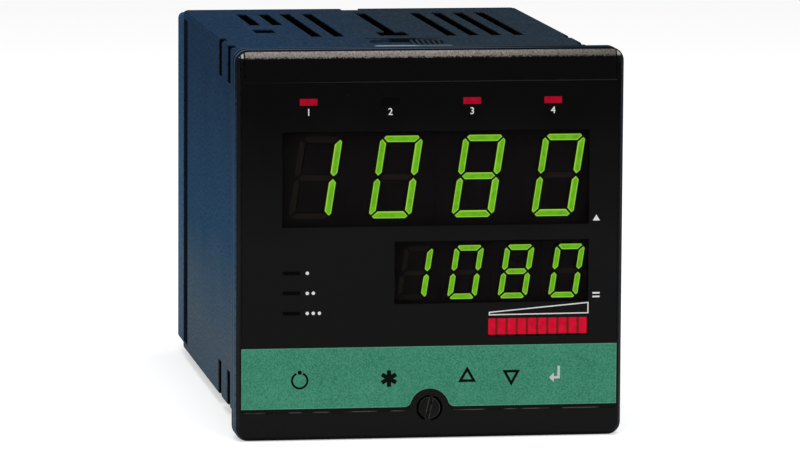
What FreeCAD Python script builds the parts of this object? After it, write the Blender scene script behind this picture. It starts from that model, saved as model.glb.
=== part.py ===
"""Panel-mounted temperature controller with a 96 x 96 mm front and a plug-in chassis.

Frame: the origin is the centre of the panel plane, which is the rear face of the gasket.
+X is to the right as seen from the front, +Y runs into the panel and +Z is up.
The case side (sleeve, terminals, rim) stays in the panel.  The front unit (bezel, film,
displays, keys and boards) slides out of the sleeve towards -Y once its screw is undone.
"""
import FreeCAD, Part
import math
import os
from FreeCAD import Vector

# ---- driving dimensions, millimetres ------------------------------------------------
FRONT_SIZE = 96.0            # square collar of a quarter-DIN instrument
PROUD = 10.0                 # front face ahead of the panel
DEPTH_BEHIND = 142.0         # rear rim behind the panel
GASKET_T = 1.5
COLLAR_T = 7.0
SLEEVE_W = 90.0
SLEEVE_H = 91.0
WALL = 2.0
SIDE_WALL_END = 118.5        # side walls stop short of the terminal block's flange
SLEEVE_END = 128.0           # top and bottom walls run on over the flange
SLEEVE_EDGE_R = 0.8          # long edges of the case
SCREW_X = 0.0
SCREW_Z = -40.4              # retaining screw, bottom centre of the front

# ---- derived planes and half sizes --------------------------------------------------
FRONT_Y = -PROUD
COLLAR_Y = -(GASKET_T + COLLAR_T)
GASKET_Y = -GASKET_T
HALF_FRONT = FRONT_SIZE / 2
HALF_W = SLEEVE_W / 2
HALF_H = SLEEVE_H / 2
INNER_W = HALF_W - WALL
INNER_H = HALF_H - WALL
CUT = 1.0                    # how far a cutting tool runs past the face it opens

# ---- sleeve: ventilation, bracket and corner slots ----------------------------------
SLOTS_X = 0.7                # middle of the slot pattern
VENT_W = 2.9
VENT_FIRST_X = 14.5
VENT_PITCH = 5.8
VENT_COUNT = 4
VENT_LONG = (51.8, 117.0)
VENT_SHORT = (84.3, 116.3)
VENT_STUB = (63.0, 73.0)
STUB_W = 5.4
TEE_STEM = (64.0, 117.0)     # long stroke of the T-shaped bracket slot
TEE_BAR = (53.0, 64.0)
TEE_BAR_W = 7.8
RECESS_Y = (28.0, 45.0)      # oval thumb recess with grip ribs
RECESS_X = 1.3
RECESS_W = 19.6
RECESS_DEEP = 0.95
GRIP_RIBS = 7
GRIP_PITCH = 1.35
GRIP_T = 0.55
GRIP_LEAN = 1.6
CORNER_SLOTS_Y = (25.5, 43.5)
CORNER_SLOT_L = 7.0
CORNER_SLOT_H = 9.3
CORNER_WRAP = 1.8
REAR_NOTCH_X = (-2.8, 2.1)   # short notch in the rear edge of the top wall
REAR_NOTCH_L = 2.4

# ---- guide rails and boards ---------------------------------------------------------
BOARD_T = 1.6
RAIL_GAP = 2.0
RAIL_T = 1.2
RAIL_H = 3.0
RAIL_Y = (9.0, 110.0)
BOARD_X = {"main_board": -37.5, "option_board": 8.5, "power_board": 37.5}
BOARD_HALF_H = INNER_H - 0.6
BOARD_Y = (1.0, 113.0)
TONGUE_HALF_H = 33.0
TONGUE_END = 117.2

# ---- screw boss and insert in the sleeve --------------------------------------------
BOSS_HALF_W = 4.5
BOSS_TOP = -36.6
BOSS_Y = (-4.0, 9.0)
INSERT_R = 2.5
INSERT_BORE_R = 1.7
INSERT_END = 6.5

# ---- front frame (bezel) ------------------------------------------------------------
FRAME_HALF = 47.7            # outline where the frame meets the collar
FRAME_R = 3.0
FACE_HALF_W = 47.05          # flat face inside the edge bevels
FACE_TOP = 46.05
FACE_BOTTOM = -46.7
FACE_R = 2.4
PLATE_BACK = -8.0
PLUG_HALF_W = 42.3           # the part of the frame that plugs into the sleeve
PLUG_HALF_H = 42.8
PLUG_T = 1.6
PLUG_END = 4.0
GROOVE_X = (-46.85, -45.9, 45.9)
GROOVE_W = 0.3
GROOVE_DEEP = 0.5

# ---- film on the front --------------------------------------------------------------
FILM_HALF_W = 46.6
FILM_TOP = 40.3
FILM_BOTTOM = -41.0
FILM_T = 0.25
FILM_SINK = 0.15             # film face below the frame's face
FILM_GAP = 0.1
NOTCH_R = 4.9                # arch of the film over the screw
FLARE_R = 1.7
FILM_FRONT = FRONT_Y + FILM_SINK
FILM_BACK = FILM_FRONT + FILM_T

# ---- displays -----------------------------------------------------------------------
SLANT = math.tan(math.radians(8.6))
PV_WINDOW = (-36.6, 39.4, 4.7, 28.1)          # x, x, z, z of the clear area in the film
SV_WINDOW = (-8.9, 39.4, -14.5, 0.95)
BAR_WINDOW = (14.5, 39.5, -22.9, -18.4)
PV_DIGITS_X = (-28.25, -8.38, 12.12, 31.99)   # centre lines of the digits
PV_Z = 16.66
PV_GLYPH = (10.5, 20.3, 1.7)                  # width, height and stroke of a digit
PV_MODULES_X = ((-39.05, -0.05), (1.3, 40.3))  # two housings with two digits each
PV_MODULE_H = 25.2
SV_DIGITS_X = (-3.52, 9.06, 21.64, 34.22)
SV_Z = -7.07
SV_GLYPH = (7.3, 13.3, 1.35)
SV_MODULE_W = 12.2
SV_MODULE_H = 18.0
MODULE_FRONT = -7.95
SEGMENT_GAP = 0.45                            # width of the channels between light bars
CORNER_NIP = 0.80                             # corner cut off a digit, in strokes
SEGMENT_DEEP = 1.6
BAR_COUNT = 10
BAR_PITCH = 2.54
BAR_SIZE = (1.95, 4.1)
BAR_MODULE = (25.5, 8.4)
FILTER_T = 1.3
FILTER_GAP = 0.15
FILTER_X = (-38.2, -10.4, 40.4)               # left edge, step and right edge of the L shape
FILTER_Z = (-25.2, 3.2, 29.8)                 # lower edge, step and upper edge

# ---- indicator lamps ----------------------------------------------------------------
OUTPUT_LED_X = (-30.2, -10.1, 10.1, 30.2)
OUTPUT_LED_Z = 35.42
OUTPUT_LED_SIZE = (4.3, 1.6)
STATUS_LED_X = -34.3
STATUS_LED_Z = (-6.5, -11.4, -16.4)
STATUS_LED_SIZE = (4.2, 0.8)
LED_GAP = 0.1

# ---- keys ---------------------------------------------------------------------------
KEY_X = (-32.2, -10.1, 9.3, 20.3, 31.3)
KEY_Z = -32.8
KEY_CAP = (6.0, 6.0)         # square plungers: cap, flange and stem, width and height
KEY_FLANGE = (7.2, 7.2)
KEY_STEM = (2.6, 2.6)
KEY_CLEARANCE = 0.3
KEY_FILM_GAP = 0.05
KEY_TRAVEL = 0.3
SWITCH_HALF = 3.0
SWITCH_FRONT = -5.8

# ---- display board ------------------------------------------------------------------
PCB_FRONT = -2.2
PCB_BACK = PCB_FRONT + BOARD_T
PCB_HALF = 40.3
POST_AT = 38.0
POST_R = 2.4

# ---- retaining screw ----------------------------------------------------------------
SCREW_HEAD_R = 2.9
SCREW_HEAD_FRONT = -9.35
SCREW_HEAD_T = 1.8
SCREW_WELL_R = 3.3
SCREW_SHANK_R = 1.48
SCREW_HOLE_R = 1.55
SCREW_END = 6.0
SCREW_SLOT_W = 0.9
SCREW_SLOT_DEEP = 0.9
SCREW_SLOT_LEAN = 13.0       # degrees from upright
SCREW_NECK_R = 1.15
CLIP_Y = (-5.2, -4.6)
CLIP_R = 2.9

# ---- terminal block and rear rim ----------------------------------------------------
TERMINAL_COLUMNS = (-29.0, 0.0, 29.0)
TERMINALS = 10
TERMINAL_PITCH = 7.62
TERMINAL_HALF_SPAN = TERMINALS * TERMINAL_PITCH / 2
FLANGE_Y = (118.6, 128.2)
LIP_Y = (128.1, 129.5)
TERMINAL_BASE_END = 133.0
BARRIER_END = 138.6
BARRIER_T = 1.2
COLUMN_HALF_W = 6.2
SHROUD_HALF_W = 44.9
SHROUD_Z = (-44.8, 43.9)
SHROUD_T = 2.0
SHROUD_GATE_X = (-3.2, 5.4)  # opening in its top wall behind the notch


# ---- small helpers ------------------------------------------------------------------
def box(x0, x1, y0, y1, z0, z1):
    """Solid block between two corners."""
    return Part.makeBox(x1 - x0, y1 - y0, z1 - z0, Vector(x0, y0, z0))


def rod_y(x, z, radius, y0, y1):
    """Round bar along Y."""
    return Part.makeCylinder(radius, y1 - y0, Vector(x, y0, z), Vector(0, 1, 0))


def corner_arc(before, corner, after, radius):
    """Tangent arc that rounds one corner, with its two end points."""
    back = (before - corner).normalize()
    ahead = (after - corner).normalize()
    half_angle = back.getAngle(ahead) / 2
    reach = radius / math.tan(half_angle)
    bisector = (back + ahead).normalize()
    start = corner + back * reach
    end = corner + ahead * reach
    middle = corner + bisector * (radius / math.sin(half_angle) - radius)
    return start, Part.Arc(start, middle, end), end


def rounded_wire(corners, y):
    """Closed wire in the plane Y=y through (x, z, corner radius) points."""
    points = [Vector(x, y, z) for x, z, _ in corners]
    count = len(points)
    starts, arcs, ends = [], [], []
    for i, (_, _, radius) in enumerate(corners):
        if radius:
            start, arc, end = corner_arc(points[i - 1], points[i], points[(i + 1) % count], radius)
        else:
            start, arc, end = points[i], None, points[i]
        starts.append(start)
        arcs.append(arc)
        ends.append(end)
    edges = []
    for i in range(count):
        if arcs[i]:
            edges.append(arcs[i].toShape())
        following = starts[(i + 1) % count]
        if (following - ends[i]).Length > 1e-6:
            edges.append(Part.LineSegment(ends[i], following).toShape())
    return Part.Wire(edges)


def rect_corners(x0, x1, z0, z1, radius):
    return [(x0, z0, radius), (x1, z0, radius), (x1, z1, radius), (x0, z1, radius)]


def slab(corners, y0, y1):
    """Flat plate with the outline `corners`, from y0 to y1."""
    face = Part.Face(rounded_wire(corners, y0))
    return face.extrude(Vector(0, y1 - y0, 0))


def rect_slab(half_w, half_h, radius, y0, y1):
    return slab(rect_corners(-half_w, half_w, -half_h, half_h, radius), y0, y1)


def joined(shapes):
    """One solid out of overlapping or touching shapes."""
    shape = shapes[0]
    if len(shapes) > 1:
        shape = shape.fuse(shapes[1:])
    return shape.removeSplitter()


def without(shape, tools):
    return shape.cut(tools) if tools else shape


def turned_over(shape):
    """Copy on the opposite wall: mirrored in the plane Z=0."""
    return shape.mirror(Vector(0, 0, 0), Vector(0, 0, 1))


def group(shapes):
    """Separate solids that share one node."""
    return Part.makeCompound(shapes)


# ---- case side ----------------------------------------------------------------------
def top_wall_slots():
    """Openings through the top wall; the bottom wall carries their mirror image."""
    z0 = INNER_H - CUT
    z1 = HALF_H + CUT

    def slot(offset, width, span):
        x = SLOTS_X + offset
        return box(x - width / 2, x + width / 2, span[0], span[1], z0, z1)

    tools = []
    for i in range(VENT_COUNT):
        offset = VENT_FIRST_X + i * VENT_PITCH
        tools.append(slot(offset, VENT_W, VENT_LONG))
        left_span = VENT_LONG if i < 2 else VENT_SHORT
        tools.append(slot(-offset, VENT_W, left_span))
    outermost = VENT_FIRST_X + (VENT_COUNT - 1) * VENT_PITCH
    tools.append(slot(-outermost, STUB_W, VENT_STUB))
    tools.append(slot(0, VENT_W, TEE_STEM))
    tools.append(slot(0, TEE_BAR_W, TEE_BAR))
    tools.append(box(*REAR_NOTCH_X, SLEEVE_END - REAR_NOTCH_L, SLEEVE_END + CUT, z0, z1))
    return tools


def thumb_recess():
    """Oval dish in the top wall whose right half keeps slanting grip ribs."""
    y0, y1 = RECESS_Y
    floor = HALF_H - RECESS_DEEP
    x0, x1 = RECESS_X - RECESS_W / 2, RECESS_X + RECESS_W / 2
    end_r = (y1 - y0) / 2 - 0.5
    flat = rounded_wire(rect_corners(x0, x1, y0, y1, end_r), 0.0)
    flat.rotate(Vector(0, 0, 0), Vector(1, 0, 0), -90)
    flat.translate(Vector(0, 0, floor))
    dish = Part.Face(flat).extrude(Vector(0, 0, RECESS_DEEP + CUT))
    ribs = []
    for i in range(GRIP_RIBS):
        x = RECESS_X + GRIP_PITCH * (i + 0.2)
        profile = [Vector(x, y0 - CUT, floor), Vector(x + GRIP_T, y0 - CUT, floor),
                   Vector(x + GRIP_T + GRIP_LEAN, y1 + CUT, floor),
                   Vector(x + GRIP_LEAN, y1 + CUT, floor)]
        face = Part.Face(Part.makePolygon(profile + profile[:1]))
        ribs.append(face.extrude(Vector(0, 0, RECESS_DEEP - 0.25)))
    return without(dish, ribs)


def corner_slots():
    """Short upright slots that wrap over the four long edges of the case."""
    tools = []
    low = HALF_H - CORNER_SLOT_H
    for y in CORNER_SLOTS_Y:
        for side in (-1, 1):
            xs = sorted((side * (HALF_W - CORNER_WRAP - 0.001), side * (HALF_W + CUT)))
            for z0, z1 in ((low, HALF_H + CUT), (-HALF_H - CUT, -low)):
                tools.append(box(xs[0], xs[1], y, y + CORNER_SLOT_L, z0, z1))
    return tools


def guide_rails():
    rails = []
    for x in BOARD_X.values():
        for side in (-1, 1):
            near = x + side * RAIL_GAP / 2
            far = near + side * RAIL_T
            rail = box(min(near, far), max(near, far), *RAIL_Y, INNER_H - RAIL_H, INNER_H + 0.5)
            rails.append(rail)
            rails.append(turned_over(rail))
    return rails


def sleeve():
    """Blue case: collar, slotted walls, guide rails and the boss for the screw."""
    collar = rect_slab(HALF_FRONT, HALF_FRONT, 3.2, COLLAR_Y, GASKET_Y)
    rims = [e for e in collar.Edges if e.BoundBox.YLength < 1e-6]
    collar = collar.makeChamfer(0.5, rims)
    tube = rect_slab(HALF_W, HALF_H, SLEEVE_EDGE_R, GASKET_Y - 0.5, SLEEVE_END)
    body = joined([collar, tube])
    hollow = box(-INNER_W, INNER_W, COLLAR_Y - CUT, SLEEVE_END + CUT, -INNER_H, INNER_H)
    body = body.cut(hollow)
    boss = box(-BOSS_HALF_W, BOSS_HALF_W, *BOSS_Y, -INNER_H - 0.5, BOSS_TOP)
    body = joined([body, boss] + guide_rails())
    slots = top_wall_slots()
    tools = [thumb_recess()] + slots + [turned_over(tool) for tool in slots] + corner_slots()
    for side in (-1, 1):
        xs = sorted((side * (INNER_W - CUT), side * (HALF_W + CUT)))
        tools.append(box(xs[0], xs[1], SIDE_WALL_END, SLEEVE_END + CUT, -INNER_H, INNER_H))
    tools.append(rod_y(SCREW_X, SCREW_Z, INSERT_R, BOSS_Y[0] - CUT, INSERT_END))
    tools.append(rod_y(SCREW_X, SCREW_Z, INSERT_BORE_R, BOSS_Y[0] - CUT, BOSS_Y[1] + CUT))
    return body.cut(tools)


def panel_gasket():
    outer = rect_slab(HALF_FRONT - 0.6, HALF_FRONT - 0.6, 2.8, GASKET_Y, 0.0)
    inner = rect_slab(HALF_W + 0.1, HALF_H + 0.1, SLEEVE_EDGE_R + 0.1, GASKET_Y - CUT, CUT)
    return outer.cut(inner)


def threaded_insert():
    barrel = rod_y(SCREW_X, SCREW_Z, INSERT_R, BOSS_Y[0], INSERT_END)
    return barrel.cut(rod_y(SCREW_X, SCREW_Z, INSERT_BORE_R, BOSS_Y[0] - CUT, INSERT_END + CUT))


def terminal_heights():
    first = -(TERMINALS - 1) / 2 * TERMINAL_PITCH
    return [first + i * TERMINAL_PITCH for i in range(TERMINALS)]


def terminal_comb(x):
    """One column of terminals: a base with a barrier between every two clamps."""
    half_t = BARRIER_T / 2
    profile = [(LIP_Y[1] - 0.5, -TERMINAL_HALF_SPAN - half_t)]
    for i in range(TERMINALS + 1):
        z = -TERMINAL_HALF_SPAN + i * TERMINAL_PITCH
        floor = [] if i == 0 else [(TERMINAL_BASE_END, z - half_t)]
        profile += floor + [(BARRIER_END, z - half_t), (BARRIER_END, z + half_t)]
        if i < TERMINALS:
            profile.append((TERMINAL_BASE_END, z + half_t))
    profile.append((LIP_Y[1] - 0.5, TERMINAL_HALF_SPAN + half_t))
    points = [Vector(x - COLUMN_HALF_W, y, z) for y, z in profile]
    face = Part.Face(Part.makePolygon(points + points[:1]))
    return face.extrude(Vector(2 * COLUMN_HALF_W, 0, 0))


def terminal_block():
    """Black moulding that closes the sleeve and carries three rows of terminals."""
    flange = rect_slab(HALF_W - 0.3, INNER_H - 0.1, 0.0, *FLANGE_Y)
    lip = rect_slab(HALF_W - 0.3, HALF_H, 1.0, *LIP_Y)
    lip = lip.cut(box(*REAR_NOTCH_X, LIP_Y[0] - CUT, LIP_Y[1] + CUT, INNER_H + 0.1, HALF_H + CUT))
    plug = rect_slab(INNER_W - 0.2, INNER_H - 0.2, 0.0, FLANGE_Y[0] - 3.0, FLANGE_Y[0] + 0.5)
    plug = plug.cut(rect_slab(INNER_W - 2.2, INNER_H - 2.2, 0.0, 0.0, FLANGE_Y[0]))
    return joined([flange, lip, plug] + [terminal_comb(x) for x in TERMINAL_COLUMNS])


def terminal_clamps():
    """Square wire clamps with turned-up edges, one under each screw."""
    half_w, half_h, thick, lip = 4.4, 2.9, 0.8, 1.6
    section = [(-half_w, 0.0), (half_w, 0.0), (half_w, lip), (half_w - thick, lip),
               (half_w - thick, thick), (thick - half_w, thick), (thick - half_w, lip), (-half_w, lip)]
    clamps = []
    for x in TERMINAL_COLUMNS:
        for z in terminal_heights():
            points = [Vector(x + dx, TERMINAL_BASE_END + dy, z - half_h) for dx, dy in section]
            face = Part.Face(Part.makePolygon(points + points[:1]))
            clamps.append(face.extrude(Vector(0, 0, 2 * half_h)))
    return group(clamps)


def rear_shroud():
    """Blue rim round the terminals, cut back a little along its lower rear edge."""
    y0, y1 = LIP_Y[1] + 0.05, DEPTH_BEHIND
    bottom, top = SHROUD_Z
    outer = slab(rect_corners(-SHROUD_HALF_W, SHROUD_HALF_W, bottom, top, 1.5), y0, y1)
    rear_rim = [e for e in outer.Edges if abs(e.BoundBox.YMin - y1) < 1e-6]
    outer = outer.makeChamfer(0.4, rear_rim)
    inner_w = SHROUD_HALF_W - SHROUD_T
    inner = box(-inner_w, inner_w, y0 - CUT, y1 + CUT, bottom + SHROUD_T, top - SHROUD_T)
    step = box(-HALF_W - CUT, HALF_W + CUT, y1 - 3.5, y1 + CUT, -HALF_H, bottom + 0.7)
    gate = box(*SHROUD_GATE_X, y0 - CUT, y1 + CUT, top - SHROUD_T - CUT, top + CUT)
    tools = [inner, step, gate]
    for x in TERMINAL_COLUMNS:
        tools.append(box(x - 9.0, x + 9.0, y1 - 6.0, y1 + CUT, -HALF_H, bottom + SHROUD_T + CUT))
    return outer.cut(tools)


def case_connectors():
    """Edge connectors on the inside of the terminal block, one for each board."""
    sockets = []
    y0, y1 = 110.6, FLANGE_Y[0]
    for x in BOARD_X.values():
        half_h = TONGUE_HALF_H + 2.0
        body = box(x - 3.2, x + 3.2, y0, y1, -half_h, half_h)
        mouth = box(x - 1.1, x + 1.1, y0 - CUT, TONGUE_END + 0.4, -half_h + 1.4, half_h - 1.4)
        sockets.append(body.cut(mouth))
    return group(sockets)


# ---- front unit: frame and film -----------------------------------------------------
def film_corners(grow):
    """Film outline without its arch, grown by `grow` on every side."""
    left, right = -FILM_HALF_W - grow, FILM_HALF_W + grow
    return [(left, FILM_BOTTOM - grow, 1.2), (right, FILM_BOTTOM - grow, 1.2),
            (right, FILM_TOP + grow, 0.8), (left, FILM_TOP + grow, 0.8)]


def arch_notch(y0, y1, bottom, shrink):
    """Round-topped bite over the screw, with flared feet on the line Z=bottom."""
    radius = NOTCH_R - shrink
    flare_z = bottom + FLARE_R
    reach = radius + FLARE_R
    flare_x = math.sqrt(reach ** 2 - (flare_z - SCREW_Z) ** 2)
    ratio = radius / reach
    touch = (flare_x * ratio, SCREW_Z + (flare_z - SCREW_Z) * ratio)
    straight_down = -math.pi / 2
    towards_screw = math.atan2(SCREW_Z - flare_z, -flare_x)
    if towards_screw > 0:
        towards_screw -= 2 * math.pi
    mid_angle = (straight_down + towards_screw) / 2
    centre = Vector(flare_x, y0, flare_z)
    middle = centre + Vector(math.cos(mid_angle), 0, math.sin(mid_angle)) * FLARE_R
    foot = Vector(flare_x, y0, bottom)
    shoulder = Vector(touch[0], y0, touch[1])

    def flipped(point):
        return Vector(-point.x, point.y, point.z)

    low = Vector(flare_x, y0, bottom - 3.0)
    edges = [
        Part.Arc(foot, middle, shoulder).toShape(),
        Part.Arc(shoulder, Vector(0, y0, SCREW_Z + radius), flipped(shoulder)).toShape(),
        Part.Arc(flipped(shoulder), flipped(middle), flipped(foot)).toShape(),
        Part.LineSegment(flipped(foot), flipped(low)).toShape(),
        Part.LineSegment(flipped(low), low).toShape(),
        Part.LineSegment(low, foot).toShape(),
    ]
    return Part.Face(Part.Wire(edges)).extrude(Vector(0, y1 - y0, 0))


def window(bounds, y0, y1, grow=0.0):
    x0, x1, z0, z1 = bounds
    return box(x0 - grow, x1 + grow, y0, y1, z0 - grow, z1 + grow)


def centred(x, z, size):
    """Bounds of a rectangle from its centre and its (width, height)."""
    return (x - size[0] / 2, x + size[0] / 2, z - size[1] / 2, z + size[1] / 2)


def lamp_bounds():
    """Outlines of the output lamps, then of the status lamps."""
    outputs = [centred(x, OUTPUT_LED_Z, OUTPUT_LED_SIZE) for x in OUTPUT_LED_X]
    status = [centred(STATUS_LED_X, z, STATUS_LED_SIZE) for z in STATUS_LED_Z]
    return outputs, status


def filter_outline(inset):
    """L-shaped opening of the frame behind the displays, drawn in by `inset`."""
    left, step_x, right = FILTER_X[0] + inset, FILTER_X[1] + inset, FILTER_X[2] - inset
    bottom, step_z, top = FILTER_Z[0] + inset, FILTER_Z[1] + inset, FILTER_Z[2] - inset
    return [(left, step_z, 0), (step_x, step_z, 0), (step_x, bottom, 0),
            (right, bottom, 0), (right, top, 0), (left, top, 0)]


def front_bezel():
    """Black front frame: bevelled face, film pocket, windows, key holes and plug."""
    rear = rounded_wire(rect_corners(-FRAME_HALF, FRAME_HALF, -FRAME_HALF, FRAME_HALF, FRAME_R),
                        COLLAR_Y - 0.15)
    face = rounded_wire(rect_corners(-FACE_HALF_W, FACE_HALF_W, FACE_BOTTOM, FACE_TOP, FACE_R),
                        FRONT_Y)
    bevels = Part.makeLoft([rear, face], True, True)
    rim = rect_slab(FRAME_HALF, FRAME_HALF, FRAME_R, COLLAR_Y - 0.15, COLLAR_Y)
    plug = rect_slab(PLUG_HALF_W, PLUG_HALF_H, 0.8, COLLAR_Y - 0.5, PLUG_END)
    hollow = rect_slab(PLUG_HALF_W - PLUG_T, PLUG_HALF_H - PLUG_T, 0, PLATE_BACK, PLUG_END + CUT)
    posts = [rod_y(sx * POST_AT, sz * POST_AT, POST_R, PLATE_BACK - 0.5, PCB_FRONT)
             for sx in (-1, 1) for sz in (-1, 1)]
    screw_boss = rod_y(SCREW_X, SCREW_Z, 4.2, PLATE_BACK - 0.5, CLIP_Y[0] - 0.1)
    screw_boss = screw_boss.common(rect_slab(PLUG_HALF_W, PLUG_HALF_H, 0.8, COLLAR_Y, PLUG_END))
    shell = joined([bevels, rim, plug]).cut(hollow)
    shell = joined([shell] + posts + [screw_boss])

    y0, y1 = FRONT_Y - CUT, PLATE_BACK + CUT
    pocket = slab(film_corners(FILM_GAP), y0, FILM_BACK)
    pocket = pocket.cut(arch_notch(y0 - CUT, FILM_BACK + CUT, FILM_BOTTOM - FILM_GAP, FILM_GAP))
    tools = [pocket, slab(filter_outline(0.0), y0, y1)]
    outputs, status = lamp_bounds()
    for bounds in outputs + status:
        tools.append(window(bounds, y0, y1, LED_GAP))
    for x in KEY_X:
        tools.append(window(centred(x, KEY_Z, KEY_CAP), y0, y1, KEY_CLEARANCE))
    for x in GROOVE_X:
        tools.append(box(x - GROOVE_W / 2, x + GROOVE_W / 2, y0, FRONT_Y + GROOVE_DEEP,
                         FILM_TOP + 1.2, FRAME_HALF + CUT))
    tools.append(rod_y(SCREW_X, SCREW_Z, SCREW_WELL_R, y0, SCREW_HEAD_FRONT + SCREW_HEAD_T + 0.02))
    tools.append(rod_y(SCREW_X, SCREW_Z, SCREW_HOLE_R, y0, PLUG_END))
    boss_room = 0.8
    tools.append(box(-BOSS_HALF_W - boss_room, BOSS_HALF_W + boss_room, CLIP_Y[0] - 0.1, PLUG_END + CUT,
                     -PLUG_HALF_H - CUT, BOSS_TOP + boss_room))
    return shell.cut(tools)


def overlay_film():
    """Printed film with the clear areas left open over the displays and lamps."""
    film = slab(film_corners(0.0), FILM_FRONT, FILM_BACK)
    y0, y1 = FILM_FRONT - CUT, FILM_BACK + CUT
    tools = [arch_notch(y0, y1, FILM_BOTTOM, 0.0)]
    for bounds in (PV_WINDOW, SV_WINDOW, BAR_WINDOW):
        tools.append(window(bounds, y0, y1))
    outputs, status = lamp_bounds()
    for bounds in outputs + status:
        tools.append(window(bounds, y0, y1, LED_GAP / 2))
    return film.cut(tools)


def display_filter():
    """Smoked acrylic plate behind the film."""
    return slab(filter_outline(FILTER_GAP), FILM_BACK, FILM_BACK + FILTER_T)


# ---- displays -----------------------------------------------------------------------
def segment_outlines(glyph):
    """Seven light bars of one digit, upright, centred on (0, 0), mitred at the corners."""
    width, height, stroke = glyph
    w, h, mid = width / 2, height / 2, stroke / 2
    gap = SEGMENT_GAP / math.sqrt(2)
    nip = CORNER_NIP * stroke
    inner_w, inner_h = w - stroke, h - stroke
    bevel = (nip - gap) / 2
    level = [(gap - inner_w, inner_h), (bevel + gap - w, h - bevel), (nip - w, h),
             (w - nip, h), (w - gap - bevel, h - bevel), (inner_w - gap, inner_h)]
    upright = [(w, h - nip), (w - bevel, h - gap - bevel), (inner_w, inner_h - gap),
               (inner_w, mid + gap), (w - mid, gap), (w, mid + gap)]
    tip, end = w - mid - gap, inner_w - gap
    middle = [(-tip, 0), (-end, mid), (end, mid), (tip, 0), (end, -mid), (-end, -mid)]

    def flipped(points, across, upwards):
        return [(across * x, upwards * z) for x, z in points]

    return [level, upright, flipped(upright, 1, -1), flipped(level, 1, -1),
            flipped(upright, -1, -1), flipped(upright, -1, 1), middle]


def light_bars(digits_x, z, glyph, y0, y1):
    """All light bars of some digits, leaning to the right."""
    bars = []
    for x in digits_x:
        for outline in segment_outlines(glyph):
            points = [Vector(x + dx + dz * SLANT, y0, z + dz) for dx, dz in outline]
            face = Part.Face(Part.makePolygon(points + points[:1]))
            bars.append(face.extrude(Vector(0, y1 - y0, 0)))
    return bars


def digit_modules(spans, digits_x, z, height, glyph):
    """Black display housings with a well for every light bar of their digits."""
    modules = []
    for x0, x1 in spans:
        housing = box(x0, x1, MODULE_FRONT, PCB_FRONT, z - height / 2, z + height / 2)
        own = [x for x in digits_x if x0 < x < x1]
        wells = light_bars(own, z, glyph, MODULE_FRONT - CUT, MODULE_FRONT + SEGMENT_DEEP)
        modules.append(housing.cut(wells))
    return group(modules)


def display_bars(digits_x, z, glyph):
    y0 = MODULE_FRONT + 0.05
    return group(light_bars(digits_x, z, glyph, y0, MODULE_FRONT + SEGMENT_DEEP))


def bargraph_centre():
    x0, x1, z0, z1 = BAR_WINDOW
    return (x0 + x1) / 2, (z0 + z1) / 2


def bargraph_blocks(y0, y1):
    x, z = bargraph_centre()
    blocks = []
    for i in range(BAR_COUNT):
        at = x + (i - (BAR_COUNT - 1) / 2) * BAR_PITCH
        x0, x1, z0, z1 = centred(at, z, BAR_SIZE)
        blocks.append(box(x0, x1, y0, y1, z0, z1))
    return blocks


def bargraph_module():
    x, z = bargraph_centre()
    x0, x1, z0, z1 = centred(x, z, BAR_MODULE)
    housing = box(x0, x1, MODULE_FRONT, PCB_FRONT, z0, z1)
    return housing.cut(bargraph_blocks(MODULE_FRONT - CUT, MODULE_FRONT + SEGMENT_DEEP))


def bargraph_bars():
    return group(bargraph_blocks(MODULE_FRONT + 0.05, MODULE_FRONT + SEGMENT_DEEP))


def lamp(bounds, size_below):
    """Rectangular lamp: light bar through the frame on a wider foot at the board."""
    x0, x1, z0, z1 = bounds
    bar = box(x0, x1, FILM_FRONT + 0.05, PCB_FRONT, z0, z1)
    x, z = (x0 + x1) / 2, (z0 + z1) / 2
    fx0, fx1, fz0, fz1 = centred(x, z, size_below)
    foot = box(fx0, fx1, PCB_FRONT - 1.5, PCB_FRONT, fz0, fz1)
    return joined([bar, foot])


# ---- keys ---------------------------------------------------------------------------
def key_plunger(x):
    """Square plunger behind the film: cap, flange that keeps it in, and stem."""
    front = FILM_BACK + KEY_FILM_GAP
    cap = window(centred(x, KEY_Z, KEY_CAP), front, PLATE_BACK + 0.6)
    flange = window(centred(x, KEY_Z, KEY_FLANGE), PLATE_BACK + 0.1, PLATE_BACK + 0.7)
    stem = window(centred(x, KEY_Z, KEY_STEM), PLATE_BACK + 0.5, SWITCH_FRONT + 0.8)
    return joined([cap, flange, stem])


def key_switches():
    """Tactile switches on the board, each with a well for the plunger's stem."""
    switches = []
    well_end = SWITCH_FRONT + 0.8 + KEY_TRAVEL + 0.2
    for x in KEY_X:
        body = window(centred(x, KEY_Z, (2 * SWITCH_HALF, 2 * SWITCH_HALF)), SWITCH_FRONT, PCB_FRONT)
        well = window(centred(x, KEY_Z, KEY_STEM), SWITCH_FRONT - CUT, well_end, 0.15)
        switches.append(body.cut(well))
    return group(switches)


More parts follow.
